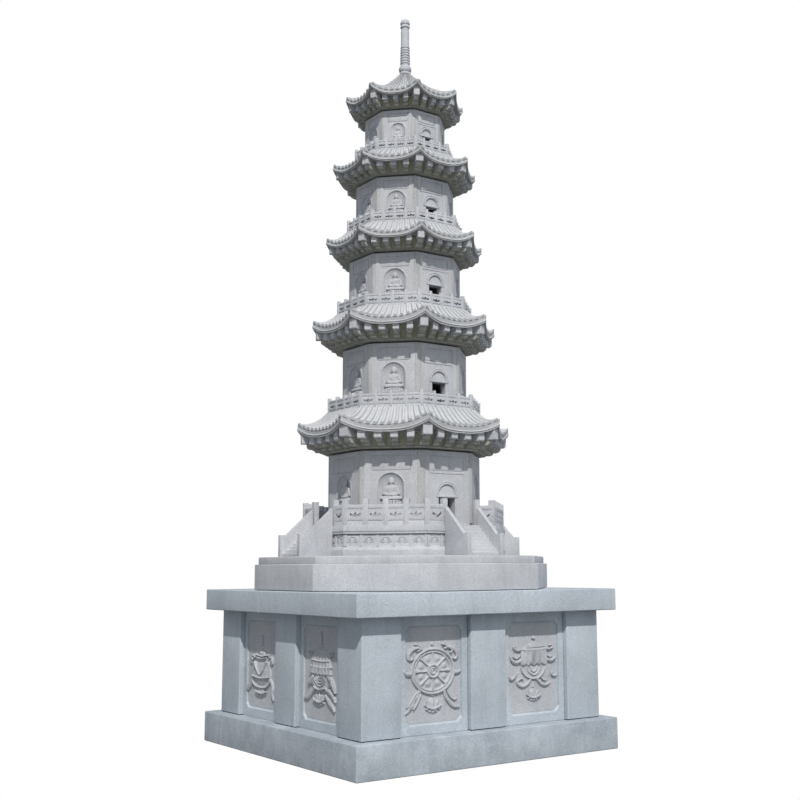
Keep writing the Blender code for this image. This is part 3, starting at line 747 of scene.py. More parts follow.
def carvedFigure():
    # x to the viewer's right, y out of the niche, z up from its foot
    seat = figureForm["seat"]
    pieces = [
        ball((0, 0.026, seat + 0.018), (0.080, 0.030, 0.020)),
        ball((0, 0.024, seat + 0.055), (0.047, 0.026, 0.050)),
        ball((0, 0.024, seat + 0.098), (0.054, 0.024, 0.036)),
        ball((0, 0.023, seat + 0.122), (0.040, 0.018, 0.018)),
        ball((0, 0.027, seat + 0.168), (0.0250, 0.0240, 0.0285)),
        ball((0, 0.024, seat + 0.176), (0.0275, 0.0255, 0.0240)),
        ball((0, 0.024, seat + 0.193), (0.0150, 0.0140, 0.0100)),
        ball((0, 0.048, seat + 0.050), (0.020, 0.010, 0.008)),
    ]
    pieces += limb((0, 0.024, seat + 0.120), (0, 0.026, seat + 0.150), 0.0135, 0.0125)
    pieces += mirrored(limb, (0.050, 0.024, seat + 0.112), (0.066, 0.026, seat + 0.060), 0.0165, 0.0155)
    pieces += mirrored(limb, (0.066, 0.026, seat + 0.060), (0.020, 0.046, seat + 0.044), 0.0150, 0.0095)
    pieces += mirrored(limb, (0.022, 0.028, seat + 0.022), (0.084, 0.034, seat + 0.019), 0.0210, 0.0165)
    pieces += mirrored(limb, (0.084, 0.034, seat + 0.018), (0.010, 0.052, seat + 0.015), 0.0155, 0.0120)
    pieces += mirrored(limb, (0.0245, 0.024, seat + 0.176), (0.0250, 0.025, seat + 0.153), 0.0040, 0.0046)
    body = joinAll("figure", pieces)
    useModifier(body, "REMESH", mode="VOXEL", voxel_size=figureForm["voxel"])
    useModifier(body, "SMOOTH", factor=0.5, iterations=4)
    folds = []
    for i in range(4):
        drop = 0.016 * i
        folds += limb((-0.040 + 0.010 * i, 0.0440, seat + 0.112 - drop),
                      (0.026, 0.0475, seat + 0.088 - drop), 0.0026, 0.0022)
    for i in range(3):
        x, y = 0.018 + 0.022 * i, 0.060 - 0.005 * i
        folds += mirrored(limb, (x, y, seat + 0.026), (x + 0.012, y - 0.002, seat + 0.004), 0.0024, 0.0020)
    # the face: brow, lowered lids, nose, lips, on thirds from the hairline to the chin
    brow, noseFoot, mouth = seat + 0.1735, seat + 0.1595, seat + 0.1535
    front = 0.0490
    features = limb((0, front - 0.0015, brow), (0, front + 0.0020, noseFoot + 0.0015), 0.0014, 0.0028)
    features += mirrored(limb, (0.0035, front, brow + 0.0005), (0.0125, front - 0.0045, brow),
                         0.0011, 0.0009)
    for side in (-1, 1):
        lid = (side * 0.0085, front - 0.0025, brow - 0.0040)
        nostril = (side * 0.0028, front + 0.0005, noseFoot + 0.0008)
        features += [ball(lid, (0.0046, 0.0022, 0.0020), steps=10),
                     ball(nostril, (0.0018, 0.0016, 0.0014), steps=8)]
    # upper lip, lower lip and chin
    for back, rise, size in ((0.0006, 0.0008, (0.0052, 0.0022, 0.0011)),
                             (0.0008, -0.0012, (0.0042, 0.0022, 0.0013)),
                             (0.0035, -0.0066, (0.0066, 0.0042, 0.0040))):
        features.append(ball((0, front - back, mouth + rise), size, steps=10))
    detail = joinAll("detail", folds + features)
    body = joinAll("figure", [body, detail])
    useModifier(body, "REMESH", mode="VOXEL", voxel_size=figureForm["fineVoxel"])
    useModifier(body, "SMOOTH", factor=0.4, iterations=2)
    useModifier(body, "DECIMATE", ratio=min(1, figureForm["faces"] / (2 * len(body.data.polygons))))
    return body


def petal(width, height, depth, turn, middle, turned):
    # a full petal, pointed at its upper end or, turned over, at its lower one
    tip = ball((0, 0, 0), (width / 2, depth / 2, height / 2), steps=12)
    for point in tip.data.vertices:
        if (point.co.z > 0) != turned:
            point.co.x *= 1 - 0.55 * (point.co.z / (height / 2)) ** 2
    tip.data.transform(Matrix.Translation(middle) @ aboutAxis(turn))
    return tip


def lotusSeat():
    seat = figureForm["seat"]
    pieces = [ball((0, 0.022, seat - 0.007), (0.088, 0.036, 0.012)),
              ball((0, 0.014, 0.50 * seat), (0.104, 0.036, 0.62 * seat)),
              ball((0, 0.022, 0.010), (0.092, 0.037, 0.014))]
    for height, size, reach, count, turned in ((0.74, 0.052, 0.006, 9, 0), (0.64, 0.040, 0.001, 8, 0),
                                               (0.22, 0.036, 0.004, 9, 1)):
        for i in range(count):
            angle = math.pi * (i + 0.5) / count
            x, y = (0.080 + reach) * math.cos(angle), 0.018 + (0.033 + reach) * math.sin(angle)
            one = petal(0.029, size, 0.013, angle - math.pi / 2, (x, y, seat * height), turned)
            pieces.append(one)
    return joinAll("lotusSeat", pieces)


def nicheFigures():
    figure = joinAll("figure", [carvedFigure(), lotusSeat()])
    print("figure carved:", len(figure.data.polygons), "faces")
    first = storeys[0]
    made = []
    for number, wall in enumerate(storeys):
        tall = (wall["nicheTop"] - wall["nicheFoot"]) / (first["nicheTop"] - first["nicheFoot"])
        wide = wall["nicheWidth"] / first["nicheWidth"]
        back = wall["radius"] * flatShare - wall["wall"] * wallForm["nicheDepth"]
        deep = figureForm["deep"] * wall["wall"] / first["wall"]
        place = Matrix.Translation((0, back - 0.004, wall["nicheFoot"]))
        place @= Matrix.Diagonal((wide, deep, tall, 1))
        copies = [copyOf(figure, facing(direction) @ place) for direction in (1, 2, 3, 5, 6, 7)]
        piece = joinAll("storey_%d_figures" % (number + 1), copies)
        pickOnly(piece)
        bpy.ops.object.shade_smooth()
        made.append(piece)
    bpy.data.objects.remove(figure)
    return made


for number, wall in enumerate(storeys):
    node = "storey_%d_wall" % (number + 1)
    panels, posts = storeyWall(number)
    dress(panels, towerGranite, "tower_granite", node)
    dress(posts, postGranite, "tower_granite", node)
for piece in nicheFigures():
    dress(piece, towerGranite, "tower_granite")
print("storeys made")


# Galleries: a pierced rail of one ring, grooved over and under its cloud-shaped openings
galleries = (
    {"radius": 0.735, "rail": 0.125, "post": 0.150},
    {"radius": 0.655, "rail": 0.118, "post": 0.142},
    {"radius": 0.567, "rail": 0.107, "post": 0.130},
    {"radius": 0.495, "rail": 0.100, "post": 0.124},
)
galleryForm = {"thick": 0.036, "bays": 4, "post": 0.032, "proud": 0.004, "slot": 0.66, "slotHeight": 0.32}


def batOutline(width, height, x, z):
    # wings spread each way from a small point, as in the photograph
    wing = [(0.08, 0.22), (0.16, 0.10), (0.28, 0.16), (0.40, 0.26), (0.50, 0.14), (0.46, -0.14),
            (0.34, -0.22), (0.20, -0.20), (0.10, -0.34)]
    right = [(x + width * a, z + height * b) for a, b in wing]
    left = [(x - width * a, z + height * b) for a, b in reversed(wing)]
    return [(x, z + 0.55 * height), *right, (x, z - 0.42 * height), *left]


def groovedProfile(radius, foot, top, lines, width=0.005, depth=0.004):
    # an upright wall's outer profile with sunk lines at the given heights
    profile = [(radius, foot)]
    for z in lines:
        profile += [(radius, z - width / 2), (radius - depth, z - width / 2 + 0.001),
                    (radius - depth, z + width / 2 - 0.001), (radius, z + width / 2)]
    return profile + [(radius, top - 0.004), (radius - 0.004, top)]


def galleryRing(number):
    form = galleries[number]
    radius = form["radius"] - galleryForm["proud"]
    foot = roofs[number]["deckTop"] + jointGap
    rail = form["rail"]
    piece = raised("gallery_%d_rail" % (number + 2), sides,
                   groovedProfile(radius, foot, foot + rail, (foot + 0.21 * rail, foot + 0.80 * rail)))
    inner = radius - galleryForm["thick"] / flatShare
    boolean(piece, raised("inner", sides, [(inner, foot - overrun), (inner, foot + rail + overrun)]))
    middle = radius * flatShare - galleryForm["thick"] / 2
    half = middle / flatShare * sideShare
    bay = 2 * half / galleryForm["bays"]
    windows = []
    posts = []
    for direction in range(sides):
        matrix = facing(direction)
        for i in range(galleryForm["bays"]):
            x = (i + 0.5) * bay - half
            wide, tall = galleryForm["slot"] * bay, galleryForm["slotHeight"] * rail
            slot = batOutline(wide, tall, x, foot + rail / 2)
            windows.append(plate(slot, (middle - overrun, middle + overrun), matrix))
        size = galleryForm["post"]
        outer = radius * flatShare + galleryForm["proud"] * 0.5
        for i in range(1, galleryForm["bays"]):
            x = i * bay - half
            low = (x - 0.36 * size, middle - galleryForm["thick"] / 2 - 0.001, foot + 0.001)
            posts.append(block(low, (x + 0.36 * size, outer, foot + form["post"]), matrix))
        corner = aboutAxis(halfStep) @ matrix
        low = (-size / 2, form["radius"] - size, foot + 0.0005)
        posts.append(block(low, (size / 2, form["radius"], foot + form["post"]), corner))
    boolean(piece, joinAll("windows", windows))
    uprights = joinAll("posts", posts)
    softenEdges(uprights, 0.003, 2)
    softenEdges(piece, 0.0012, 1)
    piece = joinAll(piece.name, [piece, uprights])
    shadeByAngle(piece, 30)
    return piece


for number in range(len(galleries)):
    dress(galleryRing(number), towerGranite, "tower_granite", "gallery_%d" % (number + 2))
print("galleries made")


# Platform: its balustrade, carved waist, stairs and the two plinth courses
railForm = {"height": 0.175, "post": 0.226, "thick": 0.045, "postWidth": 0.048, "radius": 0.955,
            "bays": 4, "slotWidth": 0.104, "slotHeight": 0.050, "slotMiddle": 0.088, "endSlot": 0.094,
            "gapHalf": 0.152, "line": 0.036, "gapLap": 0.004}
platformForm = {"floor": 1.950, "flat": 0.895, "waistFoot": 1.769, "waistTop": 1.868, "waistIn": 0.022,
                "pilaster": 0.020, "bays": 5, "relief": (-0.003, 0.0055),
                "plinthBed": (1.355, 1.3922, 1.3976)}


def wingOutline(width, height, x, z):
    # the end bays' opening: two short wings raised from a point
    right = [(0.10, -0.06), (0.34, 0.26), (0.50, 0.42), (0.50, 0.02), (0.36, -0.22), (0.16, -0.48)]
    return ([(x, z + 0.02 * height)] + [(x + width * a, z + height * b) for a, b in right]
            + [(x, z - 0.50 * height)] + [(x - width * a, z + height * b) for a, b in reversed(right)])


def balustradeQuarter():
    foot = platformForm["floor"] + jointGap
    middle = railForm["radius"] * flatShare - railForm["postWidth"] / 2
    outer = (middle + railForm["thick"] / 2) / flatShare
    half = middle / flatShare * sideShare
    top = foot + railForm["height"]
    lines = (foot + railForm["line"], foot + railForm["height"] - railForm["line"])
    piece = raised("platform_balustrade", sides, groovedProfile(outer, foot, top, lines))
    inner = outer - railForm["thick"] / flatShare
    boolean(piece, raised("inner", sides, [(inner, foot - overrun), (inner, top + overrun)]))
    windows = []
    posts = []
    slotMiddle, through = foot + railForm["slotMiddle"], (middle - overrun, middle + overrun)
    size = railForm["postWidth"]
    bay = 2 * half / railForm["bays"]
    slanting = facing(-1)

    def post(x, y, matrix):
        low = (x - size / 2, y - size / 2, foot + 0.0002)
        upright = block(low, (x + size / 2, y + size / 2, foot + railForm["post"]), matrix)
        posts.append(upright)

    for i in range(railForm["bays"]):
        x = (i + 0.5) * bay - half
        slot = batOutline(railForm["slotWidth"], railForm["slotHeight"], x, slotMiddle)
        windows.append(plate(slot, through, slanting))
    for i in range(1, railForm["bays"]):
        post(i * bay - half, middle, slanting)
    stub = (railForm["gapHalf"] + size + half - size / 2) / 2
    for direction, sign in ((0, 1), (-2, -1)):
        matrix = facing(direction)
        slot = wingOutline(railForm["endSlot"], railForm["slotHeight"], sign * stub, slotMiddle)
        windows.append(plate(slot, through, matrix))
        post(sign * (railForm["gapHalf"] + size / 2), middle, matrix)
    for corner in (-1, 1):
        post(0, middle / flatShare, aboutAxis(corner * halfStep) @ slanting)
    end = -railForm["gapHalf"] - railForm["gapLap"]
    boolean(piece, block((-2, -2, 0), (end, end, 3)), "INTERSECT")
    boolean(piece, joinAll("windows", windows))
    softenEdges(piece, 0.0012, 1)
    uprights = joinAll("posts", posts)
    softenEdges(uprights, 0.002, 2)
    return joinAll("platform_balustrade", [piece, uprights])


quarter = balustradeQuarter()
for turn, place in zip(quarterTurns, ("front_left", "front_right", "back_right", "back_left")):
    piece = named(copyOf(quarter, aboutAxis(turn)), "platform_balustrade_%s_rail" % place)
    shadeByAngle(piece, 30)
    dress(piece, towerGranite, "tower_granite", "platform_balustrade_" + place)
bpy.data.objects.remove(quarter)


def scroll(middle, size, turns, flip):
    # a cloud scroll: a line that winds in on itself, as points of a relief
    points = []
    for i in range(18):
        share = i / 17
        radius = size * (1 - 0.78 * share)
        angle = 2 * math.pi * turns * share
        points.append((middle[0] + flip * radius * math.cos(angle), middle[1] + radius * math.sin(angle)))
    return points


def ribbonOutline(points, widths, steps=5):
    # the outline of a band that follows the points, with its width given at each
    spots = smoothLine([(x, z, w) for (x, z), w in zip(points, widths)], steps)
    left, right = [], []
    for i, spot in enumerate(spots):
        ahead = spots[min(i + 1, len(spots) - 1)] - spots[max(i - 1, 0)]
        normal = Vector((-ahead.y, ahead.x)).normalized() * max(spot.z, 0.0005) / 2
        left.append((spot.x + normal.x, spot.y + normal.y))
        right.append((spot.x - normal.x, spot.y - normal.y))
    return left + right[::-1]


def waistCarving():
    # pilasters and low cloud scrolls round the platform's waist, one face at a time
    face = platformForm["flat"] - platformForm["waistIn"]
    half = face * math.tan(halfStep)
    low, high = platformForm["waistFoot"], platformForm["waistTop"]
    pitch = 2 * half / platformForm["bays"]
    relief = [face + out for out in platformForm["relief"]]
    pieces = []
    for i in range(platformForm["bays"] + 1):
        x = i * pitch - half
        wide = platformForm["pilaster"] / 2
        x = min(max(x, -half + wide), half - wide)
        pieces.append(block((x - wide, face - 0.004, low), (x + wide, face + 0.008, high - 0.003)))
    for i in range(platformForm["bays"]):
        x = (i + 0.5) * pitch - half
        middle = (low + high) / 2
        for flip in (-1, 1):
            line = scroll((x + flip * 0.026, middle - 0.004), 0.020, 1.3, flip)
            pieces.append(plate(ribbonOutline(line, [0.007] * len(line), 2), relief))
        arc = [(x - 0.045, middle - 0.012), (x - 0.025, middle + 0.022), (x, middle + 0.030),
               (x + 0.025, middle + 0.022), (x + 0.045, middle - 0.012)]
        pieces.append(plate(ribbonOutline(arc, [0.006] * len(arc)), relief))
    one = joinAll("waist", pieces)
    softenEdges(one, 0.002, 1, 50)
    one.data.transform(facing(0))
    return ringOf("platform_waist_carving", one, eighthTurns)


def platformStone():
    # the CAD drum with a deep quirk cut in under its ledge
    form = platformForm
    piece = refined("platform", 0.003)
    low, high = form["waistTop"] - 0.002, form["waistTop"] + 0.007
    outer, inner = (form["flat"] + 0.05) / flatShare, (form["flat"] - form["waistIn"] - 0.016) / flatShare
    quirk = raised("quirk", sides, [(outer, low), (outer, high)])
    boolean(quirk, raised("core", sides, [(inner, low - 0.01), (inner, high + 0.01)]))
    boolean(piece, quirk)
    shadeByAngle(piece, 20)
    return piece


dress(platformStone(), towerGranite, "tower_granite", "platform")
dress(waistCarving(), towerGranite, "tower_granite")
for place in places:
    dress(refined("stair_" + place, 0.003), towerGranite, "tower_granite", "stair_" + place)
dress(refined("plinth_lower", 0.004, 2, 0.005), towerGranite, "tower_granite", "plinth_lower")
dress(refined("plinth_upper", 0.004), towerGranite, "tower_granite", "plinth_upper")
bedRadius, *bedHeights = platformForm["plinthBed"]
plinthBed = raised("plinth_bedding", sides, [(bedRadius, height) for height in bedHeights])
softenEdges(plinthBed, 0.001, 1)
print("platform made")


# Finial: a square-cornered foot, swelling, seven rings, shaft and knob, turned in one piece. Each
# band is its foot, top, radius and bulge.
finialForm = {
    "steps": 64, "rings": 7, "pitch": 0.0272, "taper": 0.0006,
    "bowl": ((6.3923, 6.4035, 0.050, 0.004), (6.4040, 6.4110, 0.046, 0.0)),
    "swelling": ((6.4120, 6.4380, 0.0520, 0.0025), (6.4385, 6.4420, 0.0490, 0.0),
                 (6.4425, 6.4950, 0.0550, 0.0070), (6.4955, 6.5245, 0.0430, 0.0)),
    "ring": (6.5250, 6.5435, 0.0455, 0.0042), "neck": (6.5440, 6.5517, 0.0425, 0.0),
    "shaft": ((6.7075, 6.8700, 0.0420, -0.0010), (6.8705, 6.8880, 0.0370, 0.0025),
              (6.8885, 6.9050, 0.0380, 0.0), (6.9055, 6.9250, 0.0430, 0.0050)),
    "knob": ((6.9255, 6.9440, 0.0400, 0.0), (6.9445, 6.9640, 0.0460, 0.0020), (6.9645, 6.9800, 0.0420, 0.0),
             (6.9890, 6.9891, 0.0330, 0.0), (6.9960, 6.9961, 0.0180, 0.0), (6.9995, 6.9996, 0.0030, 0.0)),
}


def ringBands():
    # the rings and the necks between them, each pair a little higher and slimmer
    bands = []
    for i in range(finialForm["rings"]):
        for foot, top, radius, bulge in (finialForm["ring"], finialForm["neck"]):
            rise = finialForm["pitch"] * i
            bands.append((foot + rise, top + rise, radius - finialForm["taper"] * i, bulge))
    return bands[:-1]


def roundedBands(bands):
    # the outline that turns the bands, six steps to a bulge
    outline = []
    for foot, top, radius, bulge in bands:
        steps = 6 if bulge else 1
        for i in range(steps + 1):
            share = i / steps
            swell = bulge * math.sin(math.pi * share)
            outline.append((radius + swell, foot + (top - foot) * share))
    return outline


def finialPiece(name, bands):
    piece = raised(name, finialForm["steps"], roundedBands(bands))
    softenEdges(piece, 0.0012, 2, 25)
    shadeByAngle(piece, 35)
    return piece


spireBands = (*finialForm["swelling"], *ringBands(), *finialForm["shaft"], *finialForm["knob"])
for node, bands in (("finial_bowl", finialForm["bowl"]), ("finial_spire", spireBands)):
    dress(finialPiece(node + "_turned", bands), towerGranite, "tower_granite", node)
print("finial made")


# Pedestal: base slab, pillars, cap and eight carved panels
panelForm = {"half": 1.24, "recess": 0.045, "near": 0.185, "far": 0.87, "fieldHalf": 0.28,
             "fieldFoot": 0.342, "fieldTop": 1.124, "corner": 0.041, "sunk": 0.016, "slope": 0.015,
             "sideSlope": 0.004, "gap": 0.004, "endJoint": 0.006}
jointForm = {"half": 0.004, "depth": 0.007, "pointing": 0.002, "bed": 0.008, "pillar": 0.011, "head": 0.004}


def jointedCourse(node, reach, low, high, spots):
    # a course of several stones, with an upright joint where two meet, at (side, x)
    piece = refined(node, 0.008)
    half, depth, cuts = jointForm["half"], jointForm["depth"], []
    for side, x in spots:
        turn = aboutAxis(quarterTurns[side])
        cuts.append(block((x - half, -reach - 0.01, low - 0.01),
                          (x + half, depth - reach, high + 0.01), turn))
        strip = block((x - half, jointForm["pointing"] - reach, low + 0.012),
                      (x + half, depth + 0.004 - reach, high - 0.012), turn)
        softenEdges(strip, 0.0008, 1)
        pointing.append(strip)
    boolean(piece, joinAll("joints", cuts))
    shadeByAngle(piece, 20)
    return piece


pointing = []
dress(jointedCourse("base_slab", 1.353, 0.0, 0.268, ((1, 0.87), (1, -0.99), (3, 0.87), (3, -0.99))),
      slabGranite, "pedestal_granite", "base_slab")
dress(jointedCourse("pedestal_cap", 1.362, 1.2033, 1.392, ((0, 0.27), (1, -0.27), (2, 0.27), (3, -0.27))),
      pedestalGranite, "pedestal_granite", "pedestal_cap")
dress(joinAll("pedestal_pointing", pointing), paleMortar, "pedestal_granite")
pillars = ["middle_pillar_" + place for place in places]
pillars += ["corner_pillar_" + place for place in ("front_right", "back_right", "back_left", "front_left")]
for pillar in pillars:
    node = "pedestal_" + pillar
    dress(refined(node, 0.004, 2, jointForm["pillar"], jointForm["head"]), pedestalGranite,
          "pedestal_granite", node)
beds = [plinthBed]
for foot, top in ((0.2682, 0.2685 + jointForm["bed"]), (1.1988, 1.2032)):
    bed = block((-1.175, -1.175, foot), (1.175, 1.175, top))
    softenEdges(bed, 0.001, 1)
    beds.append(bed)
# and under the pillars, nearly out to their faces
for turn in quarterTurns:
    for low, high in (((0.88, -1.230), (1.230, -0.88)), ((-0.175, -1.230), (0.175, -1.17))):
        bed = block((*low, 0.2682), (*high, 0.2680 + jointForm["pillar"]), aboutAxis(turn))
        softenEdges(bed, 0.001, 1)
        beds.append(bed)
# the bedding's near-black colour is painted shade in the open joints
dress(joinAll("pedestal_bedding", beds), jointShadeBedding, "pedestal_granite")


def cutCorners(half, foot, top, corner):
    return [(-half + corner, foot), (half - corner, foot), (half, foot + corner), (half, top - corner),
            (half - corner, top), (-half + corner, top), (-half, top - corner), (-half, foot + corner)]


def sunkPanel(node, middle, turn):
    # the wall panel with its sunk field, cut by a block whose sides slope in
    form = panelForm
    face = form["recess"] - form["half"]
    piece = refined(node, 0.003, 2, jointForm["bed"], jointForm["head"])
    cutter = plate(cutCorners(form["fieldHalf"], form["fieldFoot"], form["fieldTop"], form["corner"]),
                   (face - 0.03, face + form["sunk"]))
    height = (form["fieldFoot"] + form["fieldTop"]) / 2
    for point in cutter.data.vertices:
        inward = 1 if point.co.y > face else -0.03 / form["sunk"]
        point.co.x -= form["sideSlope"] * inward * math.copysign(1, point.co.x)
        point.co.z -= form["slope"] * inward * math.copysign(1, point.co.z - height)
    cutter.data.transform(Matrix.Translation((middle, 0, 0)))
    # an open joint where each end meets its pillar
    half, side = (form["far"] - form["near"]) / 2, form["endJoint"]
    ends = [block((x - side, face - 0.01, 0.2), (x + side, face + 0.035, 1.3))
            for x in (middle - half, middle + half)]
    for one in [cutter] + ends:
        one.data.transform(aboutAxis(turn))
    boolean(piece, cutter)
    boolean(piece, joinAll("ends", ends))
    shadeByAngle(piece, 20)
    return piece


for turn, place in zip(quarterTurns, places):
    for side, suffix in ((-1, "a"), (1, "b")):
        node = "pedestal_%s_panel_%s" % (place, suffix)
        middle = side * (panelForm["near"] + panelForm["far"]) / 2
        dress(sunkPanel(node, middle, turn), pedestalGranite, "pedestal_granite", node)
print("pedestal made")


# Emblems: each one's strips, domes and hoops on its sunk field, worn into one relief. They are given
# in millimetres in a panel's own frame: x to the viewer's right, z up from the ground.
reliefForm = {"crown": 0.0035, "root": 0.003, "voxel": 0.0019, "faces": 11000, "deep": 1.35,
              "panelMiddle": 0.5275, "face": -1.179, "ground": (0.0025, -0.0020)}


def metres(*values):
    return [value / 1000 for value in values]


def slab(height, *outline):
    # a flat piece inside the (x, z) points
    return [plate([metres(*point) for point in outline], (reliefForm["root"], -height / 1000))]


def band(height, *points):
    # a strip with a rounded back, through (x, z, width) points
    line = [metres(x, z) for x, z, _ in points]
    made = []
    for share, rise in ((1, 0), (0.5, reliefForm["crown"])):
        widths = metres(*(share * point[2] for point in points))
        made.append(plate(ribbonOutline(line, widths), (reliefForm["root"], -(height / 1000 + rise))))
    return made


def pair(height, *points):
    return band(height, *points) + band(height, *((-x, z, width) for x, z, width in points))


def dome(x, z, wide, tall, height):
    return [ball(metres(x, 0, z), metres(wide, height, tall))]


def hoop(x, z, wide, tall, thick, height):
    # a ring, oval where wide and tall differ
    x, z, wide, tall, thick, height = metres(x, z, wide, tall, thick, height)
    pickOnly()
    bpy.ops.mesh.primitive_torus_add(rotation=(math.pi / 2, 0, 0), major_radius=tall, minor_radius=thick,
                                     major_segments=56, minor_segments=10)
    piece = settled()
    for point in piece.data.vertices:
        point.co = (x + point.co.x * wide / tall, point.co.y * height / thick, z + point.co.z)
    return [piece]


def swirl(x, z, size, turns, width, height, start=0.0):
    # a strip that winds in on itself
    count = int(8 * abs(turns)) + 1
    points = []
    for i in range(count):
        share = i / (8 * abs(turns))
        angle = start + 2 * math.pi * turns * share
        radius = size * (1 - 0.75 * share)
        points.append((x + radius * math.cos(angle), z + radius * math.sin(angle),
                       width * (1 - 0.4 * i / count)))
    return band(height, *points)


def leaf(x, z, wide, tall, angle, height=11):
    # a petal or flame from its foot at (x, z), leaning by the angle from upright
    across, up = tall * math.sin(angle), tall * math.cos(angle)
    steps = ((0, 0.45 * wide), (0.35, wide), (0.7, 0.75 * wide), (1, 3))
    return band(height, *((x + across * share, z + up * share, width) for share, width in steps))


def budOn(x, z, half, tall):
    # the closed lotus below every emblem: a bud in a smiling rim over a scalloped foot
    pieces = dome(x, z + 0.10 * tall, 0.64 * half, 0.80 * tall, 9)
    for lean in (-0.5, 0, 0.5):
        pieces += leaf(x + 0.55 * half * lean, z - 0.4 * tall, 0.44 * half, 1.2 * tall, lean, 9)
    pieces += band(16, (x - half, z, 8), (x - 0.62 * half, z - 0.36 * tall, 17), (x, z - 0.56 * tall, 21),
                   (x + 0.62 * half, z - 0.36 * tall, 17), (x + half, z, 8))
    for i in range(5):
        spot = (i - 2) / 2
        drop = (0.92 - 0.36 * spot**2) * tall
        pieces += dome(x + 0.72 * half * spot, z - drop, 0.20 * half, 0.24 * tall, 15)
    return pieces + dome(x, z + 1.10 * tall, 14, 13, 12)


def silkAndBud():
    # two silk ends that fall beside an emblem's foot, and the bud between them
    return (pair(11, (75, 612, 20), (130, 572, 34), (172, 508, 42), (215, 452, 36), (262, 420, 8))
            + pair(8, (100, 560, 12), (150, 490, 22), (215, 485, 6)) + budOn(0, 490, 84, 64))


def valance(halfTop, halfFoot, top, foot, count, dip, height):
    # a cloth edge with a scalloped foot and folds
    outline = [(-halfTop, top), (halfTop, top)]
    for i in range(7 * count + 1):
        share = i / (7 * count)
        outline.append((halfFoot * (1 - 2 * share), foot - dip * abs(math.sin(math.pi * count * share))))
    pieces = slab(height, *outline)
    for i in range(1, count):
        spot = 1 - 2 * i / count
        pieces += band(height, (halfTop * spot, top - 4, 5), (halfFoot * spot, foot + 3, 11))
    return pieces


def wheel():
    x, z = -8, 760
    pieces = dome(x, z, 176, 152, 6) + hoop(x, z, 206, 176, 12.5, 18)
    pieces += hoop(x, z, 180, 154, 9.5, 12.5)
    for i in range(8):
        turn = math.pi * i / 4
        across, up = math.cos(turn), math.sin(turn)
        pieces += band(11, (x + 55 * across, z + 50 * up, 10), (x + 168 * across, z + 144 * up, 19))
        turn += math.pi / 8
        pieces += dome(x + 122 * math.cos(turn), z + 104 * math.sin(turn), 31, 28, 11.5)
    pieces += dome(x, z, 62, 56, 12) + hoop(x, z, 54, 49, 8.5, 18)
    pieces += swirl(x, z, 34, 1.6, 10, 15) + dome(-10, 974, 18, 17, 13)
    # cloud curls on its shoulders, knobs at its sides, silk ends below
    pieces += band(13, (-112, 930, 16), (-152, 948, 26), (-205, 938, 32), (-243, 905, 32),
                   (-248, 872, 26), (-226, 854, 21), (-200, 869, 15), (-196, 895, 8))
    pieces += band(12, (-190, 972, 6), (-150, 970, 14), (-124, 948, 17), (-146, 926, 13),
                   (-174, 922, 6))
    pieces += band(13, (105, 934, 16), (153, 950, 26), (201, 929, 31), (230, 897, 30), (234, 864, 25),
                   (209, 846, 18), (186, 856, 8))
    pieces += band(16, (77, 969, 6), (106, 966, 13), (130, 948, 15), (157, 940, 15), (180, 917, 14),
                   (163, 899, 6))
    pieces += band(14, (-214, 752, 36), (-250, 746, 34), (-280, 754, 26), (-290, 770, 18),
                   (-268, 778, 8))
    pieces += band(14, (198, 744, 34), (232, 740, 30), (258, 747, 21), (264, 764, 8))
    pieces += band(10, (-140, 612, 34), (-166, 570, 40), (-194, 530, 44), (-222, 495, 42),
                   (-247, 465, 30), (-286, 437, 6))
    pieces += band(14, (-168, 604, 10), (-200, 566, 16), (-232, 524, 15), (-262, 486, 6))
    pieces += band(14, (-128, 590, 10), (-150, 545, 15), (-176, 502, 15), (-205, 470, 6))
    pieces += band(13, (100, 600, 26), (117, 556, 28), (148, 515, 30), (183, 482, 29), (218, 466, 26),
                   (258, 468, 8))
    pieces += band(10, (130, 604, 16), (153, 566, 19), (181, 537, 20), (209, 524, 17), (232, 540, 6))
    return pieces + budOn(x, 500, 82, 62)


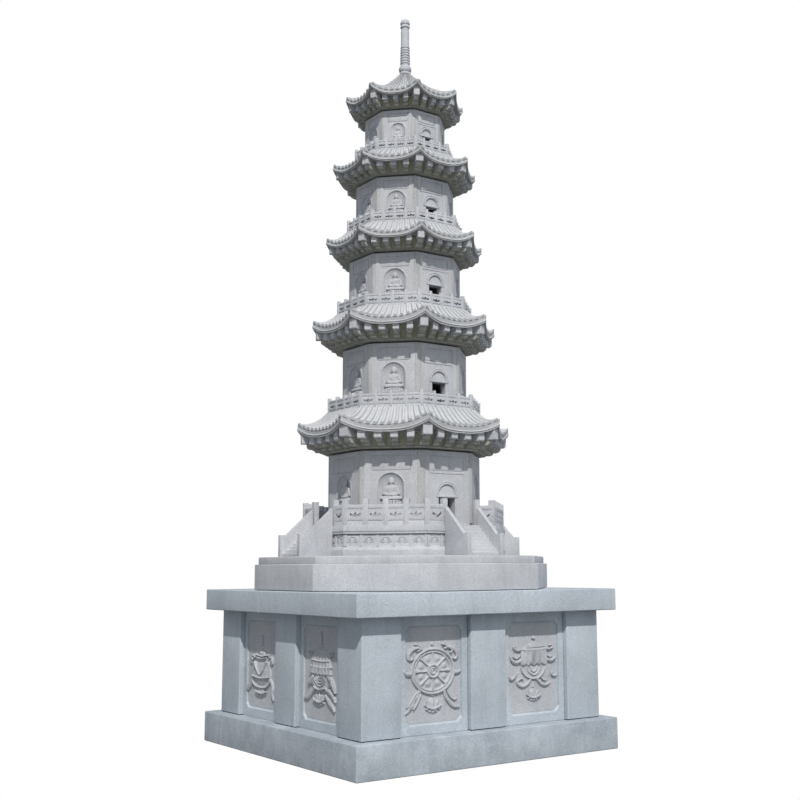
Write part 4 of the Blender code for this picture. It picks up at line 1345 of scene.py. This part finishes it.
def parasol():
    pieces = dome(2, 982, 21, 20, 22)
    pieces += slab(6, (4, 966), (30, 945), (140, 902), (-122, 896), (-28, 942))
    pieces += band(14, (-132, 884, 22), (6, 880, 24), (154, 884, 22))
    pieces += valance(142, 150, 874, 766, 5, 15, 15.5)
    # the round fan under it, in three nested folds
    pieces += slab(6, (-140, 790), (-134, 722), (-92, 668), (-30, 640), (38, 638), (90, 664),
                   (126, 710), (140, 790))
    pieces += band(10, (-142, 775, 10), (-132, 712, 14), (-90, 664, 14), (-26, 640, 14), (37, 639, 14),
                   (88, 665, 14), (124, 708, 14), (140, 775, 10))
    pieces += band(10, (-76, 760, 8), (-62, 704, 12), (0, 668, 13), (55, 694, 12), (82, 750, 8))
    pieces += band(9, (-42, 748, 6), (-28, 710, 10), (2, 696, 10), (28, 712, 10), (44, 748, 6))
    pieces += band(14, (-138, 882, 16), (-183, 882, 22), (-214, 896, 21), (-219, 915, 15),
                   (-196, 920, 8))
    pieces += band(14, (150, 882, 14), (187, 883, 19), (213, 898, 18), (198, 914, 13), (174, 910, 6))
    pieces += band(14, (-136, 806, 18), (-166, 786, 29), (-206, 783, 32), (-243, 803, 25),
                   (-260, 838, 6))
    pieces += band(10, (-150, 842, 8), (-176, 820, 14), (-206, 816, 14), (-228, 832, 6))
    pieces += band(14, (140, 796, 22), (181, 784, 30), (224, 790, 27), (254, 818, 6))
    pieces += band(10, (148, 830, 8), (182, 813, 15), (214, 822, 6))
    pieces += band(14, (-289, 676, 14), (-265, 654, 26), (-244, 644, 26), (-219, 662, 20),
                   (-190, 702, 6))
    pieces += band(14, (217, 696, 8), (200, 680, 15), (208, 656, 18), (240, 650, 18), (262, 664, 8))
    pieces += band(13, (-38, 634, 16), (-68, 602, 25), (-120, 582, 30), (-168, 594, 25),
                   (-184, 622, 20), (-150, 646, 14), (-118, 634, 6))
    pieces += band(13, (36, 630, 18), (70, 600, 27), (120, 580, 30), (165, 590, 22), (182, 612, 6))
    pieces += band(10, (76, 648, 8), (104, 624, 15), (136, 620, 14), (148, 642, 6))
    return pieces + budOn(-4, 510, 80, 55)


def vase():
    side = [(70, 800), (112, 784), (142, 748), (166, 700), (178, 650), (172, 600), (148, 564), (100, 542),
            (40, 535)]
    pieces = slab(10, *side, *((-r, z) for r, z in reversed(side)))
    pieces += dome(0, 655, 160, 118, 21) + dome(0, 832, 64, 26, 16)
    # a rim of two nested lips, the cloth's fold down the belly and a girdle over the foot
    pieces += band(16, (-122, 824, 10), (0, 808, 15), (122, 824, 10))
    pieces += band(18, (-104, 800, 8), (0, 788, 12), (104, 800, 8))
    pieces += pair(23.5, (112, 764, 8), (76, 705, 13), (32, 664, 13), (4, 650, 6))
    pieces += band(23.5, (-166, 636, 6), (0, 618, 8), (166, 636, 6))
    pieces += band(15, (-168, 606, 8), (-142, 566, 14), (-90, 544, 14), (0, 536, 14), (90, 544, 14),
                   (142, 566, 14), (168, 606, 8))
    pieces += pair(11, (128, 790, 14), (165, 808, 24), (200, 792, 28), (206, 755, 24), (178, 742, 10))
    pieces += swirl(182, 772, 16, 1.1, 8, 14) + swirl(-182, 772, 16, -1.1, 8, 14, math.pi)
    pieces += band(11, (-158, 622, 22), (-186, 580, 46), (-226, 542, 56), (-262, 514, 52),
                   (-286, 488, 14))
    pieces += band(11, (160, 622, 22), (200, 582, 40), (214, 536, 46), (208, 492, 44), (238, 440, 12))
    return pieces + leaf(0, 900, 30, 92, 0.06) + budOn(0, 507, 108, 38)


def banner():
    pieces = leaf(0, 960, 28, 108, 0) + dome(0, 950, 24, 18, 13)
    pieces += dome(0, 888, 124, 46, 12)
    for half, top, foot in ((152, 886, 830), (168, 832, 779), (174, 781, 728)):
        pieces += valance(half - 20, half, top, foot, 6, 11, 10 + 0.06 * (886 - top))
        pieces += band(14, (-half, foot + 10, 9), (0, foot - 2, 11), (half, foot + 8, 9))
    # the skirt, with four swags, and its wings to either side
    pieces += slab(10, (-140, 735), (140, 735), (190, 650), (110, 616), (0, 600), (-110, 614),
                   (-176, 650))
    swag = ((-1, 0.55, 5), (-0.5, 0.12, 9), (0, 0, 10), (0.5, 0.12, 9), (1, 0.55, 5))
    for half, foot in ((34, 698), (56, 676), (74, 654), (92, 632)):
        pieces += band(14, *((half * share, foot + half * rise, width) for share, rise, width in swag))
    pieces += band(17, (-104, 620, 10), (-20, 602, 16), (92, 620, 10))
    pieces += band(14, (-116, 708, 24), (-150, 676, 40), (-180, 650, 42), (-200, 636, 12))
    pieces += band(14, (118, 718, 30), (158, 692, 54), (190, 656, 62), (216, 622, 54), (246, 588, 12))
    pieces += pair(11, (140, 898, 10), (162, 876, 18), (190, 884, 15), (190, 908, 6))
    # ribbons, two to the right and one to the left
    pieces += band(11, (-80, 604, 24), (-136, 584, 44), (-178, 552, 52), (-216, 528, 48),
                   (-264, 514, 14))
    pieces += band(11, (80, 606, 22), (130, 596, 40), (176, 576, 46), (214, 548, 42), (240, 516, 12))
    pieces += band(11, (74, 566, 18), (114, 534, 34), (150, 500, 44), (190, 480, 48), (226, 444, 14))
    return pieces + budOn(-18, 530, 88, 52)


def lotusFlower():
    pieces = dome(0, 690, 42, 30, 20)
    for count, tall, wide, spread, height in ((7, 225, 80, 1.45, 7), (5, 190, 74, 1.05, 11),
                                              (3, 150, 66, 0.52, 15)):
        for i in range(count):
            lean = spread * (2 * i / (count - 1) - 1)
            pieces += leaf(30 * math.sin(lean), 655, wide, tall, lean, height)
    for i in range(5):
        lean = 1.2 * (i - 2) / 2
        pieces += leaf(20 * math.sin(lean), 668, 55, -85, -lean, 10)
    pieces += band(9, (0, 600, 16), (12, 545, 14), (0, 500, 12))
    pieces += pair(8, (30, 560, 12), (90, 545, 40), (150, 580, 36), (215, 560, 6))
    return pieces + silkAndBud()


def twinFish():
    pieces = []
    for side in (-1, 1):
        pieces += band(10, (40 * side, 930, 30), (92 * side, 880, 82), (116 * side, 800, 96),
                       (98 * side, 710, 66), (52 * side, 640, 22))
        for lean in (0.75, -0.35):
            pieces += leaf(56 * side, 650, 46, 95, math.pi + lean * side)
        pieces += leaf(142 * side, 790, 40, 75, 0.9 * side, 8) + dome(78 * side, 898, 10, 10, 19)
        for i in range(4):
            z = 850 - 48 * i
            pieces += band(14, ((76 + 6 * i) * side, z + 12, 4), ((110 - 4 * i) * side, z - 10, 7),
                           ((146 - 12 * i) * side, z + 12, 4))
    return pieces + silkAndBud()


def conch():
    pieces = dome(20, 700, 128, 98, 20) + leaf(-30, 690, 110, -165, -0.45, 10)
    for i in range(5):
        size = 96 - 17 * i
        x, z = -20 + 24 * i, 770 + 36 * i
        pieces += dome(x, z, size, 0.34 * size, 18 - 2 * i)
        pieces += band(13, (x - size, z - 6, 5), (x, z - 22, 10), (x + size, z - 4, 5))
    pieces += swirl(50, 690, 62, 1.4, 12, 19, 0.4) + dome(80, 965, 12, 16, 13)
    pieces += pair(11, (120, 650, 12), (180, 690, 30), (225, 660, 28), (215, 610, 8))
    return pieces + silkAndBud()


def endlessKnot():
    pieces = []
    middle, reach, gap = 735, 118, 56
    for i in (-1, 0, 1):
        for lean in (-1, 1):
            shift = Vector((lean, 1)) * 0.7071 * gap * i
            run = Vector((-lean, 1)) * 0.7071 * reach
            pieces += band(10 + 2 * lean, *((shift.x + run.x * share, middle + shift.y + run.y * share, 19)
                                            for share in (-1, -0.33, 0.33, 1)))
    for i in range(4):
        for turn, radius, size in ((math.pi * i / 2, 142, 30), (math.pi * i / 2 + math.pi / 4, 124, 28)):
            pieces += hoop(radius * math.cos(turn), middle + radius * math.sin(turn), size, size, 8.5, 13)
    pieces += leaf(0, 915, 36, 70, 0) + pair(11, (30, 915, 10), (75, 935, 26), (120, 905, 6))
    return pieces + silkAndBud()


def carvedEmblem(name, pieces, turn, side):
    piece = joinAll(name, pieces)
    useModifier(piece, "REMESH", mode="VOXEL", voxel_size=reliefForm["voxel"])
    useModifier(piece, "SMOOTH", factor=0.5, iterations=1)
    useModifier(piece, "DECIMATE", ratio=min(1, reliefForm["faces"] / (2 * len(piece.data.polygons))))
    for point in piece.data.vertices:
        point.co.y *= reliefForm["deep"]
    # with the dressed ground that it stands on
    trim, sideTrim = panelForm["slope"] + panelForm["gap"], panelForm["sideSlope"] + panelForm["gap"]
    ground = plate(cutCorners(panelForm["fieldHalf"] - sideTrim, panelForm["fieldFoot"] + trim,
                              panelForm["fieldTop"] - trim, panelForm["corner"]), reliefForm["ground"])
    piece = joinAll(name, [piece, ground])
    place = Matrix.Translation((side * reliefForm["panelMiddle"], reliefForm["face"], 0))
    piece.data.transform(aboutAxis(turn) @ place)
    shadeByAngle(piece, 50)
    return piece


emblems = (("wheel", wheel), ("parasol", parasol), ("lotus", lotusFlower), ("twin_fish", twinFish),
           ("conch", conch), ("endless_knot", endlessKnot), ("treasure_vase", vase),
           ("victory_banner", banner))
for number, (name, maker) in enumerate(emblems):
    place, side = divmod(number, 2)
    piece = carvedEmblem("emblem_" + name, maker(), quarterTurns[place], 2 * side - 1)
    dress(piece, fieldGranite, "pedestal_granite")
print("emblems made")


# Floor, light and camera
stage = {"floorSize": 60, "floor": "8A8A88", "paper": "FFFFFF", "sky": "E8EFFA",
         "skyStrength": 0.52, "brighter": (0.50, -0.85, 0.17), "lean": 0.35, "sun": "FFFAF4",
         "sunStrength": 2.9, "sunTurn": 29.5, "sunHeight": 45.8, "sunSize": 1.0}

pickOnly()
bpy.ops.mesh.primitive_plane_add(size=stage["floorSize"])
floor = named(bpy.context.object, "floor")
# matt grey paving to the stone, near-white paper to the eye
floorPaint = bpy.data.materials.new("palePaper")
floorPaint.use_nodes = True
paving = floorPaint.node_tree.nodes["Principled BSDF"]
paving.inputs["Base Color"].default_value = linear(stage["floor"])
paving.inputs["Roughness"].default_value = 0.9
paper = addNode(floorPaint.node_tree, "ShaderNodeEmission", {"Color": linear(stage["paper"])})
looked = addNode(floorPaint.node_tree, "ShaderNodeLightPath").outputs["Is Camera Ray"]
laid = addNode(floorPaint.node_tree, "ShaderNodeMixShader",
               {0: looked, 1: paving.outputs[0], 2: paper.outputs[0]})
painted = floorPaint.node_tree.nodes["Material Output"]
floorPaint.node_tree.links.new(laid.outputs[0], painted.inputs["Surface"])
floor.data.materials.append(floorPaint)
floor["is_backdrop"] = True

world = bpy.data.worlds.new("paleSky")
bpy.context.scene.world = world
world.use_nodes = True
# the eye sees a white backdrop, while the stone is lit by a slightly blue sky, brighter in front
sky = world.node_tree.nodes["Background"]
sky.inputs["Color"].default_value = linear(stage["sky"])
aim = addNode(world.node_tree, "ShaderNodeTexCoord").outputs["Generated"]
frontal = addNode(world.node_tree, "ShaderNodeVectorMath", {0: aim, 1: stage["brighter"]},
                  operation="DOT_PRODUCT")
leaning = addNode(world.node_tree, "ShaderNodeMath",
                  {0: frontal.outputs["Value"], 1: stage["lean"], 2: 1.0}, operation="MULTIPLY_ADD")
strength = addNode(world.node_tree, "ShaderNodeMath", {0: leaning.outputs[0], 1: stage["skyStrength"]},
                   operation="MULTIPLY")
world.node_tree.links.new(strength.outputs[0], sky.inputs["Strength"])
backdrop = addNode(world.node_tree, "ShaderNodeBackground", {"Color": linear(stage["paper"])})
seen = addNode(world.node_tree, "ShaderNodeLightPath").outputs["Is Camera Ray"]
chosen = addNode(world.node_tree, "ShaderNodeMixShader",
                 {0: seen, 1: sky.outputs[0], 2: backdrop.outputs[0]})
world.node_tree.links.new(chosen.outputs[0], world.node_tree.nodes["World Output"].inputs["Surface"])

turn, height = math.radians(stage["sunTurn"]), math.radians(stage["sunHeight"])
towardsSun = Vector((-math.sin(turn) * math.cos(height), -math.cos(turn) * math.cos(height),
                     math.sin(height)))
sun = bpy.data.objects.new("sun", bpy.data.lights.new("sun", "SUN"))
sun.data.color = linear(stage["sun"])[:3]
sun.data.energy = stage["sunStrength"]
sun.data.angle = math.radians(stage["sunSize"])
sun.rotation_euler = towardsSun.to_track_quat("Z", "Y").to_euler()
bpy.context.scene.collection.objects.link(sun)

# the photograph's eye: where it stands about the tower, how it looks, and its framing
eye = {"turn": -34.03, "distance": 10.594, "height": 1.579, "yaw": -35.97, "pitch": 8.48,
       "roll": -0.30, "lens": 50.77, "shift": -0.0537}
turn, yaw, pitch, roll = (math.radians(eye[key]) for key in ("turn", "yaw", "pitch", "roll"))
ahead = Vector((-math.sin(yaw) * math.cos(pitch), math.cos(yaw) * math.cos(pitch), math.sin(pitch)))
level = Vector((math.cos(yaw), math.sin(yaw), 0))
above = level.cross(ahead)
across = math.cos(roll) * level + math.sin(roll) * above
upright = math.cos(roll) * above - math.sin(roll) * level
camera = bpy.data.objects.new("camera", bpy.data.cameras.new("camera"))
camera.data.lens = eye["lens"]
camera.data.sensor_width = 36
camera.data.shift_x = eye["shift"]
camera.matrix_world = Matrix((across, upright, -ahead)).transposed().to_4x4()
camera.location = (eye["distance"] * math.sin(turn), -eye["distance"] * math.cos(turn), eye["height"])
bpy.context.scene.collection.objects.link(camera)
bpy.context.scene.camera = camera
bpy.context.scene.view_settings.view_transform = "Standard"
print("camera and light set")

low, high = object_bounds()
